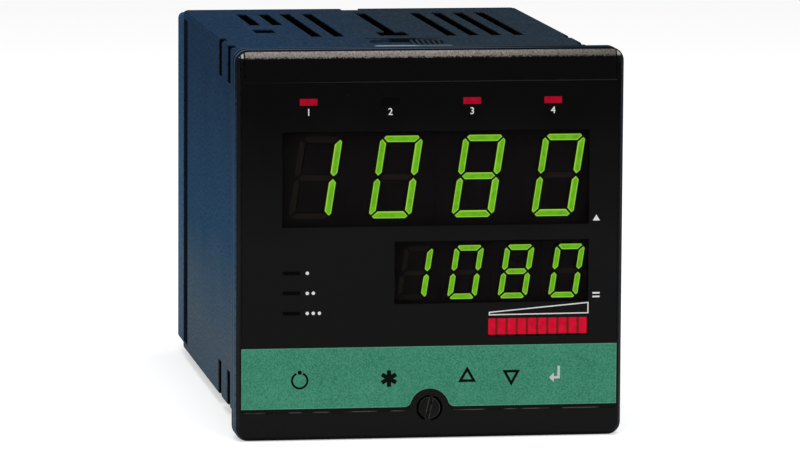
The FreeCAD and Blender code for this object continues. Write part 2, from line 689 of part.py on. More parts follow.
# ---- retaining screw ----------------------------------------------------------------
def retaining_screw():
    head_back = SCREW_HEAD_FRONT + SCREW_HEAD_T
    head = rod_y(SCREW_X, SCREW_Z, SCREW_HEAD_R, SCREW_HEAD_FRONT, head_back)
    rim = [e for e in head.Edges if abs(e.BoundBox.YMax - SCREW_HEAD_FRONT) < 1e-6]
    head = head.makeChamfer(0.25, rim)
    shank = rod_y(SCREW_X, SCREW_Z, SCREW_SHANK_R, head_back - 0.3, SCREW_END)
    tip = [e for e in shank.Edges if abs(e.BoundBox.YMin - SCREW_END) < 1e-6]
    shank = shank.makeChamfer(0.5, tip)
    screw = joined([head, shank])
    slot = box(-SCREW_HEAD_R - CUT, SCREW_HEAD_R + CUT, SCREW_HEAD_FRONT - CUT,
               SCREW_HEAD_FRONT + SCREW_SLOT_DEEP, -SCREW_SLOT_W / 2, SCREW_SLOT_W / 2)
    slot.rotate(Vector(0, 0, 0), Vector(0, 1, 0), -(90.0 - SCREW_SLOT_LEAN))
    slot.translate(Vector(SCREW_X, 0, SCREW_Z))
    neck = rod_y(SCREW_X, SCREW_Z, SCREW_SHANK_R + CUT, CLIP_Y[0], CLIP_Y[1])
    neck = neck.cut(rod_y(SCREW_X, SCREW_Z, SCREW_NECK_R, CLIP_Y[0] - CUT, CLIP_Y[1] + CUT))
    return screw.cut([slot, neck])


def screw_clip():
    """Spring-steel clip in the screw's neck, which keeps the screw on the bezel."""
    y0, y1 = CLIP_Y[0] + 0.05, CLIP_Y[1] - 0.05
    ring = rod_y(SCREW_X, SCREW_Z, CLIP_R, y0, y1)
    tools = [rod_y(SCREW_X, SCREW_Z, SCREW_NECK_R, y0 - CUT, y1 + CUT),
             box(SCREW_X - 1.0, SCREW_X + 1.0, y0 - CUT, y1 + CUT, SCREW_Z - 4.0, SCREW_Z)]
    return ring.cut(tools)


# ---- boards and what they carry -----------------------------------------------------
def display_board():
    board = rect_slab(PCB_HALF, PCB_HALF, 0, PCB_FRONT, PCB_BACK)
    return board.cut(box(-7.0, 7.0, PCB_FRONT - CUT, PCB_BACK + CUT, -PCB_HALF - CUT, -35.2))


def upright_board(x):
    """Board that stands in the guide rails, with a tongue for its edge connector."""
    half_t = BOARD_T / 2
    sheet = box(x - half_t, x + half_t, *BOARD_Y, -BOARD_HALF_H, BOARD_HALF_H)
    front_relief = [box(x - half_t - CUT, x + half_t + CUT, BOARD_Y[0] - CUT, PLUG_END + 1.5, z0, z1)
                    for z0, z1 in ((-INNER_H, -35.0), (35.0, INNER_H))]
    rear_relief = [box(x - half_t - CUT, x + half_t + CUT, 109.5, BOARD_Y[1] + CUT, z0, z1)
                   for z0, z1 in ((-INNER_H, -TONGUE_HALF_H), (TONGUE_HALF_H, INNER_H))]
    tongue = box(x - half_t, x + half_t, BOARD_Y[1] - CUT, TONGUE_END, -TONGUE_HALF_H, TONGUE_HALF_H)
    return joined([sheet.cut(front_relief + rear_relief), tongue])


def board_headers():
    """Right-angle headers between the display board and the three upright boards."""
    headers = []
    for name, x in BOARD_X.items():
        side = -1 if name == "power_board" else 1
        near = x + side * BOARD_T / 2
        far = near + side * 2.6
        headers.append(box(min(near, far), max(near, far), PCB_BACK, 6.5, -18.0, 18.0))
    return group(headers)


POWER_FACE = BOARD_X["power_board"] - BOARD_T / 2
MAIN_FACE = BOARD_X["main_board"] + BOARD_T / 2
OPTION_FACE = BOARD_X["option_board"] - BOARD_T / 2
TRANSFORMER_Y = (66.0, 102.0)
TRANSFORMER_Z = (-36.0, 6.0)
CORE_X = (POWER_FACE - 20.0, POWER_FACE - 4.0)
CORE_LEG = 7.0


def transformer_core():
    """Laminated frame of the mains transformer with its two coil windows."""
    y0, y1 = TRANSFORMER_Y
    z0, z1 = TRANSFORMER_Z
    core = box(CORE_X[0], CORE_X[1], y0, y1, z0, z1)
    middle = (z0 + z1) / 2
    half_leg = CORE_LEG
    windows = [box(CORE_X[0] - CUT, CORE_X[1] + CUT, y0 + CORE_LEG, y1 - CORE_LEG, a, b)
               for a, b in ((z0 + CORE_LEG, middle - half_leg), (middle + half_leg, z1 - CORE_LEG))]
    return core.cut(windows)


def transformer_coil():
    """Bobbin wound round the middle leg, standing on the power board."""
    y0, y1 = TRANSFORMER_Y[0] + CORE_LEG, TRANSFORMER_Y[1] - CORE_LEG
    middle = sum(TRANSFORMER_Z) / 2
    leg = (CORE_X[0], CORE_X[1], middle - CORE_LEG, middle + CORE_LEG)
    room = 6.0
    coil = box(CORE_X[0] - 2.5, CORE_X[1] + 4.0, y0, y1, leg[2] - room, leg[3] + room)
    edges = [e for e in coil.Edges if e.BoundBox.YLength > 1.0]
    coil = coil.makeFillet(2.0, edges)
    return coil.cut(box(leg[0], leg[1], y0 - CUT, y1 + CUT, leg[2], leg[3]))


def relays():
    size_y, size_z, tall = 29.0, 12.7, 15.7
    cases = []
    for i in range(4):
        z0 = -40.0 + i * (size_z + 1.6)
        case = box(POWER_FACE - tall, POWER_FACE, 14.0, 14.0 + size_y, z0, z0 + size_z)
        top_edges = [e for e in case.Edges if abs(e.BoundBox.XMax - (POWER_FACE - tall)) < 1e-6]
        cases.append(case.makeChamfer(0.6, top_edges))
    return group(cases)


def filter_capacitors():
    """Aluminium cans lying on the power board, pointing at the middle of the case."""
    cans = []
    for y, z, radius, tall in ((56.0, 26.0, 8.0, 24.0), (74.0, 27.0, 6.5, 20.0), (90.0, 27.0, 5.0, 13.0)):
        cans.append(Part.makeCylinder(radius, tall, Vector(POWER_FACE - tall, y, z), Vector(1, 0, 0)))
    return group(cans)


def chip(face_x, y, z, size_y, size_z, tall):
    """Dual in-line package on the +X side of a board, standing on its two rows of legs."""
    x0 = face_x + 0.6
    body = box(x0, x0 + tall, y, y + size_y, z, z + size_z)
    feet = [box(face_x, x0 + 1.0, y + a, y + a + 1.0, z + 0.6, z + size_z - 0.6)
            for a in (0.0, size_y - 1.0)]
    return joined([body] + feet)


def main_board_chips():
    places = ((22.0, -34.0, 14.0, 36.0, 4.2), (44.0, -30.0, 14.0, 32.0, 4.2), (66.0, -34.0, 8.0, 20.0, 3.6),
              (66.0, -8.0, 8.0, 18.0, 3.6), (24.0, 10.0, 8.0, 24.0, 3.6), (46.0, 10.0, 16.0, 16.0, 3.8))
    return group([chip(MAIN_FACE, *place) for place in places])


def option_board_chips():
    face = OPTION_FACE + BOARD_T
    places = ((30.0, -30.0, 8.0, 20.0, 3.6), (30.0, 4.0, 8.0, 20.0, 3.6), (58.0, -18.0, 8.0, 24.0, 3.6),
              (84.0, 6.0, 8.0, 18.0, 3.6))
    return group([chip(face, *place) for place in places])


# ---- all nodes ----------------------------------------------------------------------
def all_nodes():
    sv_modules_x = [(x - SV_MODULE_W / 2, x + SV_MODULE_W / 2) for x in SV_DIGITS_X]
    nodes = {
        "sleeve": sleeve(),
        "panel_gasket": panel_gasket(),
        "threaded_insert": threaded_insert(),
        "terminal_block": terminal_block(),
        "terminal_clamps": terminal_clamps(),
        "rear_shroud": rear_shroud(),
        "case_connectors": case_connectors(),
        "front_bezel": front_bezel(),
        "overlay_film": overlay_film(),
        "display_filter": display_filter(),
        "pv_display": digit_modules(PV_MODULES_X, PV_DIGITS_X, PV_Z, PV_MODULE_H, PV_GLYPH),
        "pv_light_bars": display_bars(PV_DIGITS_X, PV_Z, PV_GLYPH),
        "sv_display": digit_modules(sv_modules_x, SV_DIGITS_X, SV_Z, SV_MODULE_H, SV_GLYPH),
        "sv_light_bars": display_bars(SV_DIGITS_X, SV_Z, SV_GLYPH),
        "bargraph_module": bargraph_module(),
        "bargraph_bars": bargraph_bars(),
        "key_switches": key_switches(),
        "retaining_screw": retaining_screw(),
        "screw_clip": screw_clip(),
        "display_board": display_board(),
        "board_headers": board_headers(),
        "transformer_core": transformer_core(),
        "transformer_coil": transformer_coil(),
        "relays": relays(),
        "filter_capacitors": filter_capacitors(),
        "main_board_chips": main_board_chips(),
        "option_board_chips": option_board_chips(),
    }
    outputs, status = lamp_bounds()
    for i, bounds in enumerate(outputs):
        nodes[f"output_led_{i + 1}"] = lamp(bounds, (6.0, 3.2))
    nodes["status_leds"] = group([lamp(bounds, (5.4, 2.6)) for bounds in status])
    for i, x in enumerate(KEY_X):
        nodes[f"key_{i + 1}"] = key_plunger(x)
    for name, x in BOARD_X.items():
        nodes[name] = upright_board(x)
    return nodes


def main():
    os.makedirs("parts", exist_ok=True)
    for name, shape in all_nodes().items():
        closed = all(solid.isValid() and solid.isClosed() for solid in shape.Solids)
        print(f"{name:22s} solids {len(shape.Solids):3d}  volume {shape.Volume:10.1f}  closed {closed}")
        shape.exportStep(f"parts/{name}.step")


main()
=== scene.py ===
"""Looks of a panel-mounted temperature controller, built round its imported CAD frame.

The scene is in metres in the CAD frame: +X right as seen from the front, +Y into the
panel and +Z up.  Camera and lights are given in metres, all else in millimetres.
"""
from functools import reduce
import math
import random

import bmesh
import bpy
from mathutils import Matrix, Vector


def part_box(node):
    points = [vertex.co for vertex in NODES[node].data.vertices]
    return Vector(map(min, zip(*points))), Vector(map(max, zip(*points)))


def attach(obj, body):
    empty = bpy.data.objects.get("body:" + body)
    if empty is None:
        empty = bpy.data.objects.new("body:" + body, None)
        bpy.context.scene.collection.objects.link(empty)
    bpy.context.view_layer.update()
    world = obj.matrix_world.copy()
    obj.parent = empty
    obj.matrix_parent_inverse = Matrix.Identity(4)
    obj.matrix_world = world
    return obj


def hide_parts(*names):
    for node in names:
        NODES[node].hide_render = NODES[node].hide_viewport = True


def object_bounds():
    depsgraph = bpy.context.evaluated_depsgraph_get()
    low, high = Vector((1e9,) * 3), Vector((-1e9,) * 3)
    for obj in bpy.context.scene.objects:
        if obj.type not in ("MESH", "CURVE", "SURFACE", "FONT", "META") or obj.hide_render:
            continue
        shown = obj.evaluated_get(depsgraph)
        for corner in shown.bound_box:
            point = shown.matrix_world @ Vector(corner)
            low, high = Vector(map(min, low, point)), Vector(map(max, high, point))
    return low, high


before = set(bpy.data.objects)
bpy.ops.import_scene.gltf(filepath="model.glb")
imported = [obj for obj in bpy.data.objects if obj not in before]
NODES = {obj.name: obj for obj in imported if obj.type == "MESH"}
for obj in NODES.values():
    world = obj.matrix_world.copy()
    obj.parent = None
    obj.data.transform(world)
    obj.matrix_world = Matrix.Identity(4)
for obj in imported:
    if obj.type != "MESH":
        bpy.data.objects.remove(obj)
cad_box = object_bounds()
MM = 0.001  # in metres
CASE = "case_side"
FRONT = "front_unit"
RECESS_X = 1.3  # middle of the thumb recess in the top of the case


def box_mm(node_name):
    """Lowest and highest corners of a CAD node, in millimetres."""
    return [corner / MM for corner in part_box(node_name)]


class Nodes:
    """Short calls that fill one node tree."""

    def __init__(self, tree):
        self.tree = tree

    def add(self, kind, inputs=(), **settings):
        """A node with its settings, and its inputs fed by name or number."""
        node = self.tree.nodes.new("ShaderNode" + kind)
        for key, value in settings.items():
            setattr(node, key, value)
        for key, value in dict(inputs).items():
            self.feed(node.inputs[key], value)
        return node

    def feed(self, socket, value):
        """Sets a socket to a number, vector or colour, or links another node's output to it."""
        if isinstance(value, bpy.types.NodeSocket):
            self.tree.links.new(value, socket)
        elif socket.type == "RGBA":
            socket.default_value = (*value, 1.0)
        else:
            socket.default_value = value

    def math(self, operation, *values):
        return self.add("Math", enumerate(values), operation=operation).outputs[0]

    def times(self, *values):
        return reduce(lambda a, b: self.math("MULTIPLY", a, b), values)

    def most(self, *values):
        return reduce(lambda a, b: self.math("MAXIMUM", a, b), values)


# ---- camera, light and stage ----
CAMERA_AT = (-0.2149106, -1.355151, 0.1806114)
CAMERA_AZIMUTH = -8.7611
CAMERA_ELEVATION = 7.3847
CAMERA_ROLL = 0.3221
FOCAL_LENGTH = 252.76  # on a 36 mm wide sensor
WHITE = (1.0, 1.0, 1.0)
ROOM_LIGHT = 0.5  # strength of the world's soft light on the object
FLOOR_GLOW = 0.44  # lifts the floor to white as the camera sees it
FLOOR_HALF = 3.0  # half of its width


def make_camera():
    """Turned about Z by the azimuth, tilted by the elevation, then rolled about its own view."""
    data = bpy.data.cameras.new("camera")
    data.sensor_width = 36.0
    data.lens = FOCAL_LENGTH
    data.clip_start = 0.01
    data.clip_end = 50.0
    camera = bpy.data.objects.new("camera", data)
    camera.matrix_world = Matrix.Translation(CAMERA_AT)
    for degrees, axis in ((CAMERA_AZIMUTH, "Z"), (90.0 - CAMERA_ELEVATION, "X"), (CAMERA_ROLL, "Z")):
        camera.matrix_world @= Matrix.Rotation(math.radians(degrees), 4, axis)
    bpy.context.scene.collection.objects.link(camera)
    bpy.context.scene.camera = camera


def area_light(name, at, target, size, watts):
    data = bpy.data.lights.new(name, "AREA")
    data.size = size
    data.energy = watts
    lamp = bpy.data.objects.new(name, data)
    at = Vector(at)
    towards = Vector(target) - at
    lamp.matrix_world = Matrix.Translation(at) @ towards.to_track_quat("-Z", "Y").to_matrix().to_4x4()
    bpy.context.scene.collection.objects.link(lamp)


def make_world():
    """Soft grey light on the object, white wherever the camera, gloss or glass sees the world."""
    world = bpy.data.worlds.new("studio")
    bpy.context.scene.world = world
    world.use_nodes = True
    world.node_tree.nodes.clear()
    nodes = Nodes(world.node_tree)
    rays = nodes.add("LightPath").outputs
    seen = nodes.most(rays["Is Camera Ray"], rays["Is Glossy Ray"], rays["Is Transmission Ray"])
    soft = nodes.add("Background", {"Color": WHITE, "Strength": ROOM_LIGHT}).outputs[0]
    white = nodes.add("Background", {"Color": WHITE, "Strength": 1.0}).outputs[0]
    mix = nodes.add("MixShader", {0: seen, 1: soft, 2: white}).outputs[0]
    nodes.add("OutputWorld", {"Surface": mix})


def make_floor():
    """Pale floor that keeps the object's shadow and looks white to the camera."""
    corners = [(x * FLOOR_HALF, y * FLOOR_HALF, cad_box[0].z)
               for x, y in ((-1, -1), (1, -1), (1, 1), (-1, 1))]
    mesh = bpy.data.meshes.new("floor")
    mesh.from_pydata(corners, [], [(0, 1, 2, 3)])
    floor = bpy.data.objects.new("floor", mesh)
    bpy.context.scene.collection.objects.link(floor)
    material = bpy.data.materials.new("floor")
    material.use_nodes = True
    material.node_tree.nodes.clear()
    nodes = Nodes(material.node_tree)
    rays = nodes.add("LightPath").outputs
    seen = nodes.most(rays["Is Camera Ray"], rays["Is Transmission Ray"])
    glow = nodes.add("Emission", {"Color": WHITE, "Strength": nodes.times(seen, FLOOR_GLOW)}).outputs[0]
    diffuse = nodes.add("BsdfDiffuse", {"Color": (0.82, 0.82, 0.82)}).outputs[0]
    nodes.add("OutputMaterial", {"Surface": nodes.add("AddShader", {0: diffuse, 1: glow}).outputs[0]})
    mesh.materials.append(material)


make_camera()
make_world()
make_floor()
area_light("overhead", (0.0, -0.25, 0.95), (0.0, 0.0, 0.0), 0.7, 6.5)
area_light("left", (-1.1, -0.5, 0.3), (0.0, 0.05, 0.0), 0.8, 4.0)
area_light("right", (1.1, -0.7, 0.5), (0.0, 0.0, 0.0), 0.8, 3.0)
bpy.context.scene.view_settings.view_transform = "Standard"


# ---- procedural materials ----
class Look(Nodes):
    """A Principled material with short calls for its texture nodes."""

    def __init__(self, name, specular=0.5):
        self.material = bpy.data.materials.new(name)
        self.material.use_nodes = True
        super().__init__(self.material.node_tree)
        self.shader = self.tree.nodes["Principled BSDF"]
        self.place = self.add("TexCoord").outputs["Object"]
        self.fixed(Specular_IOR_Level=specular)

    def fixed(self, **values):
        """Constants on the shader's own sockets."""
        for key, value in values.items():
            self.feed(self.shader.inputs[key.replace("_", " ")], value)
        return self

    def colour(self, value):
        self.feed(self.shader.inputs["Base Color"], value)
        return self

    def roughness(self, noise, smooth, rough):
        self.feed(self.shader.inputs["Roughness"], self.spread(noise, smooth, rough))
        return self

    def bump(self, *layers):
        """Sums layers of (height, depth in mm) into one bump chain; gives the finished material."""
        chain = {}
        for height, depth in layers:
            node = self.add("Bump", {"Strength": 1.0, "Distance": depth * MM, "Height": height, **chain})
            chain = {"Normal": node.outputs["Normal"]}
        self.feed(self.shader.inputs["Normal"], chain["Normal"])
        return self.material

    def noise(self, size_mm, detail=2.0, stretch=None):
        """Noise whose blobs are about size_mm across, 0 to 1."""
        place = self.place
        if stretch:
            place = self.add("Mapping", {"Vector": place, "Scale": stretch}).outputs["Vector"]
        inputs = {"Vector": place, "Scale": 1.0 / (size_mm * MM), "Detail": detail}
        return self.add("TexNoise", inputs).outputs["Fac"]

    def remap(self, value, low, high, to_low=0.0, to_high=1.0):
        """Stretches low to high onto to_low to to_high, and clamps."""
        ends = {"From Min": low, "From Max": high, "To Min": to_low, "To Max": to_high}
        return self.add("MapRange", {"Value": value, **ends}).outputs["Result"]

    def spread(self, noise, to_low=0.0, to_high=1.0):
        """Noise stretched over its usual range."""
        return self.remap(noise, 0.3, 0.7, to_low, to_high)

    def patches(self, size_mm, detail, *ends):
        """Noise, stretched and clamped as remap does."""
        return self.remap(self.noise(size_mm, detail), *ends)

    def blend(self, factor, a, b):
        """Colour a where factor is 0, colour b where it is 1."""
        return self.add("Mix", {"Factor": factor, 6: a, 7: b}, data_type="RGBA").outputs[2]

    def scaled(self, vector, factor):
        """A colour or another vector times a factor."""
        return self.add("VectorMath", {0: vector, "Scale": factor}, operation="SCALE").outputs[0]

    def normal(self):
        return self.add("NewGeometry").outputs["Normal"]

    def edges(self, radius_mm, low=0.02, high=0.25):
        """1 along sharp edges, 0 on flat faces."""
        bevel = self.add("Bevel", {"Radius": radius_mm * MM}, samples=6).outputs["Normal"]
        dot = self.add("VectorMath", {0: bevel, 1: self.normal()}, operation="DOT_PRODUCT")
        return self.remap(self.math("SUBTRACT", 1.0, dot.outputs["Value"]), low, high)

    def parts(self, vector):
        split = self.add("SeparateXYZ", {0: vector})
        return [split.outputs[axis] for axis in "XYZ"]

    def axes(self):
        """X, Y and Z of the place on the object, in millimetres."""
        return self.parts(self.scaled(self.place, 1.0 / MM))

    def stripe(self, value, at, half, soft=0.06):
        """1 within `half` of a place along one axis, 0 beyond its soft border, in millimetres."""
        return self.remap(self.math("ABSOLUTE", self.math("SUBTRACT", value, at)), half + soft, half)

    def waves(self, value, pitch):
        """0 at every whole pitch, 0.5 halfway between."""
        return self.math("PINGPONG", self.math("MULTIPLY", value, 1.0 / pitch), 0.5)

    def drifting_height(self, size_mm):
        """Height in millimetres, pushed up and down by a broad noise."""
        return self.math("ADD", self.axes()[2], self.spread(self.noise(size_mm), -5.0, 5.0))

    def dark_above(self, upper, lower):
        """Near black that goes from `lower` at the foot of the front to `upper` at its head."""
        return self.blend(self.remap(self.drifting_height(18.0), 34.0, 2.0), upper, lower)

    def outside_case(self):
        """1 on the outer skin of the case, 0 within its walls, slots and cavity."""
        x, y, z = self.axes()
        height = self.math("ABSOLUTE", z)
        side = self.remap(self.math("ABSOLUTE", x), 44.6, 44.9)
        top = self.remap(height, 45.0, 45.4)
        rear = self.remap(y, 127.2, 127.9)
        front = self.remap(y, -0.5, -1.2)
        dish = self.times(self.stripe(x, RECESS_X, 10.3, 0.1), self.remap(y, 27.6, 27.7),
                          self.remap(y, 45.4, 45.3), self.remap(height, 44.2, 44.4))
        return self.most(side, top, rear, front, dish)


def moulded_plastic(name, base, light, grain_mm, depth, rough, specular, edge=None, edge_radius=0.3):
    """Textured moulded plastic: cloudy colour, fine grain and perhaps rubbed edges."""
    look = Look(name, specular)
    grain = look.noise(grain_mm, 3.0)
    colour = look.blend(look.spread(look.noise(9.0, 3.0)), base, light)
    if edge:
        rubbed = look.times(look.edges(edge_radius), look.patches(1.2, 4.0, 0.35, 0.6))
        colour = look.blend(rubbed, colour, edge)
    look.colour(colour).roughness(grain, *rough)
    return look.bump((grain, depth), (look.noise(grain_mm * 3), depth * 1.5))


def brushed_metal(name, base, light, rough=(0.25, 0.42), stretch=(1.0, 8.0, 1.0), grime=(0.05, 0.05, 0.05),
                  edge=None):
    """Metal with fine scratches, patches of grime and perhaps rubbed edges."""
    look = Look(name).fixed(Metallic=1.0)
    scratches = look.noise(0.6, 4.0, stretch)
    colour = look.blend(scratches, base, light)
    colour = look.blend(look.patches(2.5, 4.0, 0.62, 0.75), colour, grime)
    if edge:
        rubbed = look.times(look.edges(0.22, 0.004, 0.06), look.patches(1.8, 3.0, 0.36, 0.56))
        colour = look.blend(rubbed, colour, edge)
    return look.colour(colour).roughness(scratches, *rough).bump((scratches, 0.01))


GROOVE_SHADE = (0.002, 0.003, 0.005)  # colour of the painted shade in the grooves and hollows of the case


def case_plastic(name, upper, middle, foot, top_sheen, speck_and_highlight):
    """Blue moulded case, mottled and speckled, with painted light: paler and greyer towards the foot, a
    painted sheen on top, painted highlights along collar and recess edges, and painted shade in grooves and
    within its walls.
    """
    look = Look(name, 0.0)
    x, y, z = look.axes()
    grain = look.noise(0.42, 3.0)
    drift = look.drifting_height(30.0)
    on_top = look.remap(z, 44.0, 44.3)

    # Painted light: lighter from the top down to the middle, then paler and greyer at the foot as painted
    # reflection of the floor, weaker on the right.
    colour = look.blend(look.remap(drift, 36.0, 0.0), upper, middle)
    floor_reflection = look.times(look.remap(drift, -4.0, -32.0), look.remap(x, 0.0, 30.0, 1.0, 0.45))
    colour = look.blend(floor_reflection, colour, foot)
    # Painted sheen: the top turns greyer towards the right.
    colour = look.blend(look.times(on_top, look.remap(x, -33.0, 8.0)), colour, top_sheen)
    colour = look.scaled(colour, look.patches(0.75, 3.0, 0.38, 0.62, 0.74, 1.26))
    speckled = look.most(look.patches(9.0, 2.0, 0.45, 0.6), look.times(on_top, look.remap(y, 30.0, 5.0)))
    specks = look.times(look.patches(0.6, 1.0, 0.66, 0.74), speckled)
    colour = look.blend(specks, colour, speck_and_highlight)
    rubbed = look.times(look.edges(0.4), look.patches(1.6, 4.0, 0.42, 0.62), 0.7)
    colour = look.blend(rubbed, colour, speck_and_highlight)

    collar = look.remap(look.most(look.math("ABSOLUTE", x), look.math("ABSOLUTE", z)), 46.4, 46.6)
    on_rim_top = look.remap(z, 46.0, 46.6)
    shadowed = look.times(on_rim_top, look.remap(x, 12.0, 34.0, 0.0, 0.85))
    colour = look.blend(shadowed, colour, (0.006, 0.006, 0.0095))
    # Painted highlights: light lines along the collar's edges, stronger lower down, on its top and towards
    # the left.
    collar_highlight_lines = look.most(look.stripe(y, -2.3, 0.7, 0.2), look.stripe(y, -5.9, 0.7, 0.3))
    by_height = look.most(look.remap(z, -40.0, 42.0, 1.3, 0.4), on_rim_top)
    collar_highlight = look.times(collar_highlight_lines, collar, look.remap(x, 40.0, 0.0, 0.15, 0.55), by_height)
    colour = look.blend(collar_highlight, colour, speck_and_highlight)
    # Painted shade: dark lines across the collar at its groove and at the gap to the frame, stronger higher
    # up.
    collar_shadow_lines = look.most(look.stripe(y, -3.9, 0.8, 0.3), look.remap(y, -7.0, -7.4))
    colour = look.blend(look.times(collar_shadow_lines, collar, look.remap(z, 30.0, 46.0, 0.2, 0.85)), colour, GROOVE_SHADE)

    # Painted light at the thumb recess: a highlight along its near lip, stronger on the left half, and
    # painted shade along its far lip.
    by_recess = look.times(on_top, look.stripe(x, RECESS_X, 9.3, 0.8))
    left_half = look.remap(x, RECESS_X + 0.2, RECESS_X + 1.6, 0.85, 0.3)
    recess_lip_highlight = look.times(by_recess, left_half, look.stripe(y, 26.7, 1.0, 0.4))
    recess_lip_shade = look.times(by_recess, look.stripe(y, 45.6, 0.7, 0.2), 0.8)
    colour = look.blend(recess_lip_highlight, colour, (0.24, 0.3, 0.36))
    colour = look.blend(recess_lip_shade, colour, GROOVE_SHADE)
    # Painted shade: near black within the case's walls, slots and cavity.
    look.colour(look.blend(look.outside_case(), (0.0012, 0.0012, 0.0015), colour))
    return look.roughness(grain, 0.62, 0.8).bump((grain, 0.02), (look.noise(1.3), 0.03))


BAND_GROOVES = (-46.85, -45.9, 45.9)  # X of the fine grooves across the upward bevel of the frame


def frame_plastic():
    """Black moulded frame, paler towards its foot, with rubbed edges and a painted highlight along its upward
    bevel.
    """
    look = Look("frame_black", 0.02)
    x, _, z = look.axes()
    grain = look.noise(0.3, 3.0)
    black = look.dark_above((0.0022, 0.0022, 0.0023), (0.0086, 0.0085, 0.0086))
    rubbed = look.times(look.edges(0.22), look.patches(1.2, 4.0, 0.4, 0.62), 0.6)
    black = look.blend(rubbed, black, (0.03, 0.028, 0.027))

    # Painted highlight: the upward-facing bevel near the top is painted a grainy warm grey, fading towards
    # the right and lower on the bevel.
    facing_up = look.parts(look.normal())[2]
    ragged = look.math("ADD", z, look.spread(look.noise(0.45), -0.3, 0.3))
    upward = look.times(look.remap(facing_up, 0.25, 0.4), look.remap(ragged, 46.1, 46.45))
    fibres = look.remap(look.noise(0.33, 4.0, (1.0, 0.6, 0.6)), 0.34, 0.66, 0.62, 1.18)
    pits = look.patches(0.5, 2.0, 0.3, 0.42, 0.35, 1.0)
    to_right = look.remap(x, 5.0, 44.0, 1.05, 0.55)
    to_top = look.remap(z, 46.2, 47.4, 0.72, 1.12)
    bevel_highlight = look.blend(look.noise(1.4, 3.0), (0.168, 0.15, 0.134), (0.24, 0.216, 0.196))
    bevel_highlight = look.scaled(bevel_highlight, look.times(fibres, pits, to_right, to_top))
    # Painted highlight at both ends of the bevel.
    ends = look.remap(look.math("ABSOLUTE", x), 46.0, 46.2, 0.0, 0.8)
    bevel_highlight = look.blend(ends, bevel_highlight, (0.36, 0.35, 0.33))
    # The painted highlight is broken by dark lines at the fine grooves.
    for groove_x in BAND_GROOVES:
        bevel_highlight = look.blend(look.stripe(x, groove_x, 0.13, 0.08), bevel_highlight, (0.004, 0.004, 0.004))
    return look.colour(look.blend(upward, black, bevel_highlight)).roughness(grain, 0.42, 0.58).bump((grain, 0.015))


def film_look():
    """Satin polyester film with a fine tooth, a few pale specks and painted highlights along its cut edges.
    """
    look = Look("film_black", 0.02)
    x, _, z = look.axes()
    tooth = look.noise(0.16)
    tone = look.dark_above((0.0024, 0.0022, 0.0023), (0.0077, 0.0072, 0.0075))
    tone = look.blend(look.patches(0.55, 2.0, 0.79, 0.86), tone, (0.05, 0.048, 0.044))
    low, high = box_mm("overlay_film")
    # Painted highlights along the lower cut edge, broken, and along the upper one, stronger towards the
    # right.
    glints = look.remap(look.noise(7.0, 1.0, (1.0, 0.02, 0.02)), 0.46, 0.54)
    low_edge_highlight = look.times(look.stripe(z, low.z + 0.05, 0.09), glints)
    top_edge_highlight = look.times(look.stripe(z, high.z - 0.02, 0.08), look.remap(x, -42.0, -15.0, 0.05, 0.35))
    tone = look.blend(look.times(look.most(low_edge_highlight, top_edge_highlight), 0.7), tone, (0.13, 0.12, 0.11))
    return look.colour(tone).roughness(tooth, 0.34, 0.46).bump((tooth, 0.006))


def printed_ink(name, base, light, share=0.3, specular=0.02, mottle=0.32):
    """Screen-printed ink with a fine mottle; `share` is the part of the broad clouds in it."""
    look = Look(name, specular)
    grain = look.noise(mottle, 3.0)
    fine = look.remap(grain, 0.32, 0.68)
    broad = look.spread(look.noise(11.0, 3.0))
    mixed = look.math("ADD", look.times(fine, 1.0 - share), look.times(broad, share))
    return look.colour(look.blend(mixed, base, light)).roughness(grain, 0.42, 0.55).bump((grain, 0.004))


def smoked_acrylic():
    """Dark clear plate, matt-coated: it only dims what stands behind it, with faint swirls."""
    look = Look("smoked_acrylic", 0.0).fixed(Base_Color=(0.0, 0.0, 0.0), Alpha=0.3)
    return look.roughness(look.noise(0.8, 3.0), 0.1, 0.16).bump((look.noise(3.0), 0.003))


def grainy(name, base, light, grain_mm, specular, rough, depth):
    """Dull dark plastic with a fine grain."""
    look = Look(name, specular)
    grain = look.noise(grain_mm, 3.0)
    return look.colour(look.blend(grain, base, light)).roughness(grain, *rough).bump((grain, depth))


def lit(name, core, rim, strength, patch_mm=1.6, body=(0.006, 0.0005, 0.001)):
    """Glowing light bar: the attribute 'rim' is 0 on the bar's axis and 1 at its border."""
    look = Look(name, 0.03).fixed(Roughness=0.5, Emission_Strength=strength)
    rim_value = look.add("Attribute", attribute_name="rim").outputs["Fac"]
    patch = look.spread(look.noise(patch_mm))
    glow = look.blend(patch, tuple(c * 0.72 for c in core), core)
    glow = look.blend(look.remap(rim_value, 0.5, 0.95), glow, rim)
    look.feed(look.shader.inputs["Emission Color"], glow)
    look.material.cycles.emission_sampling = "NONE"  # a display, too weak to light anything
    look.colour(look.blend(patch, body, tuple(c * 1.2 for c in body)))
    return look.bump((look.noise(0.3), 0.004))


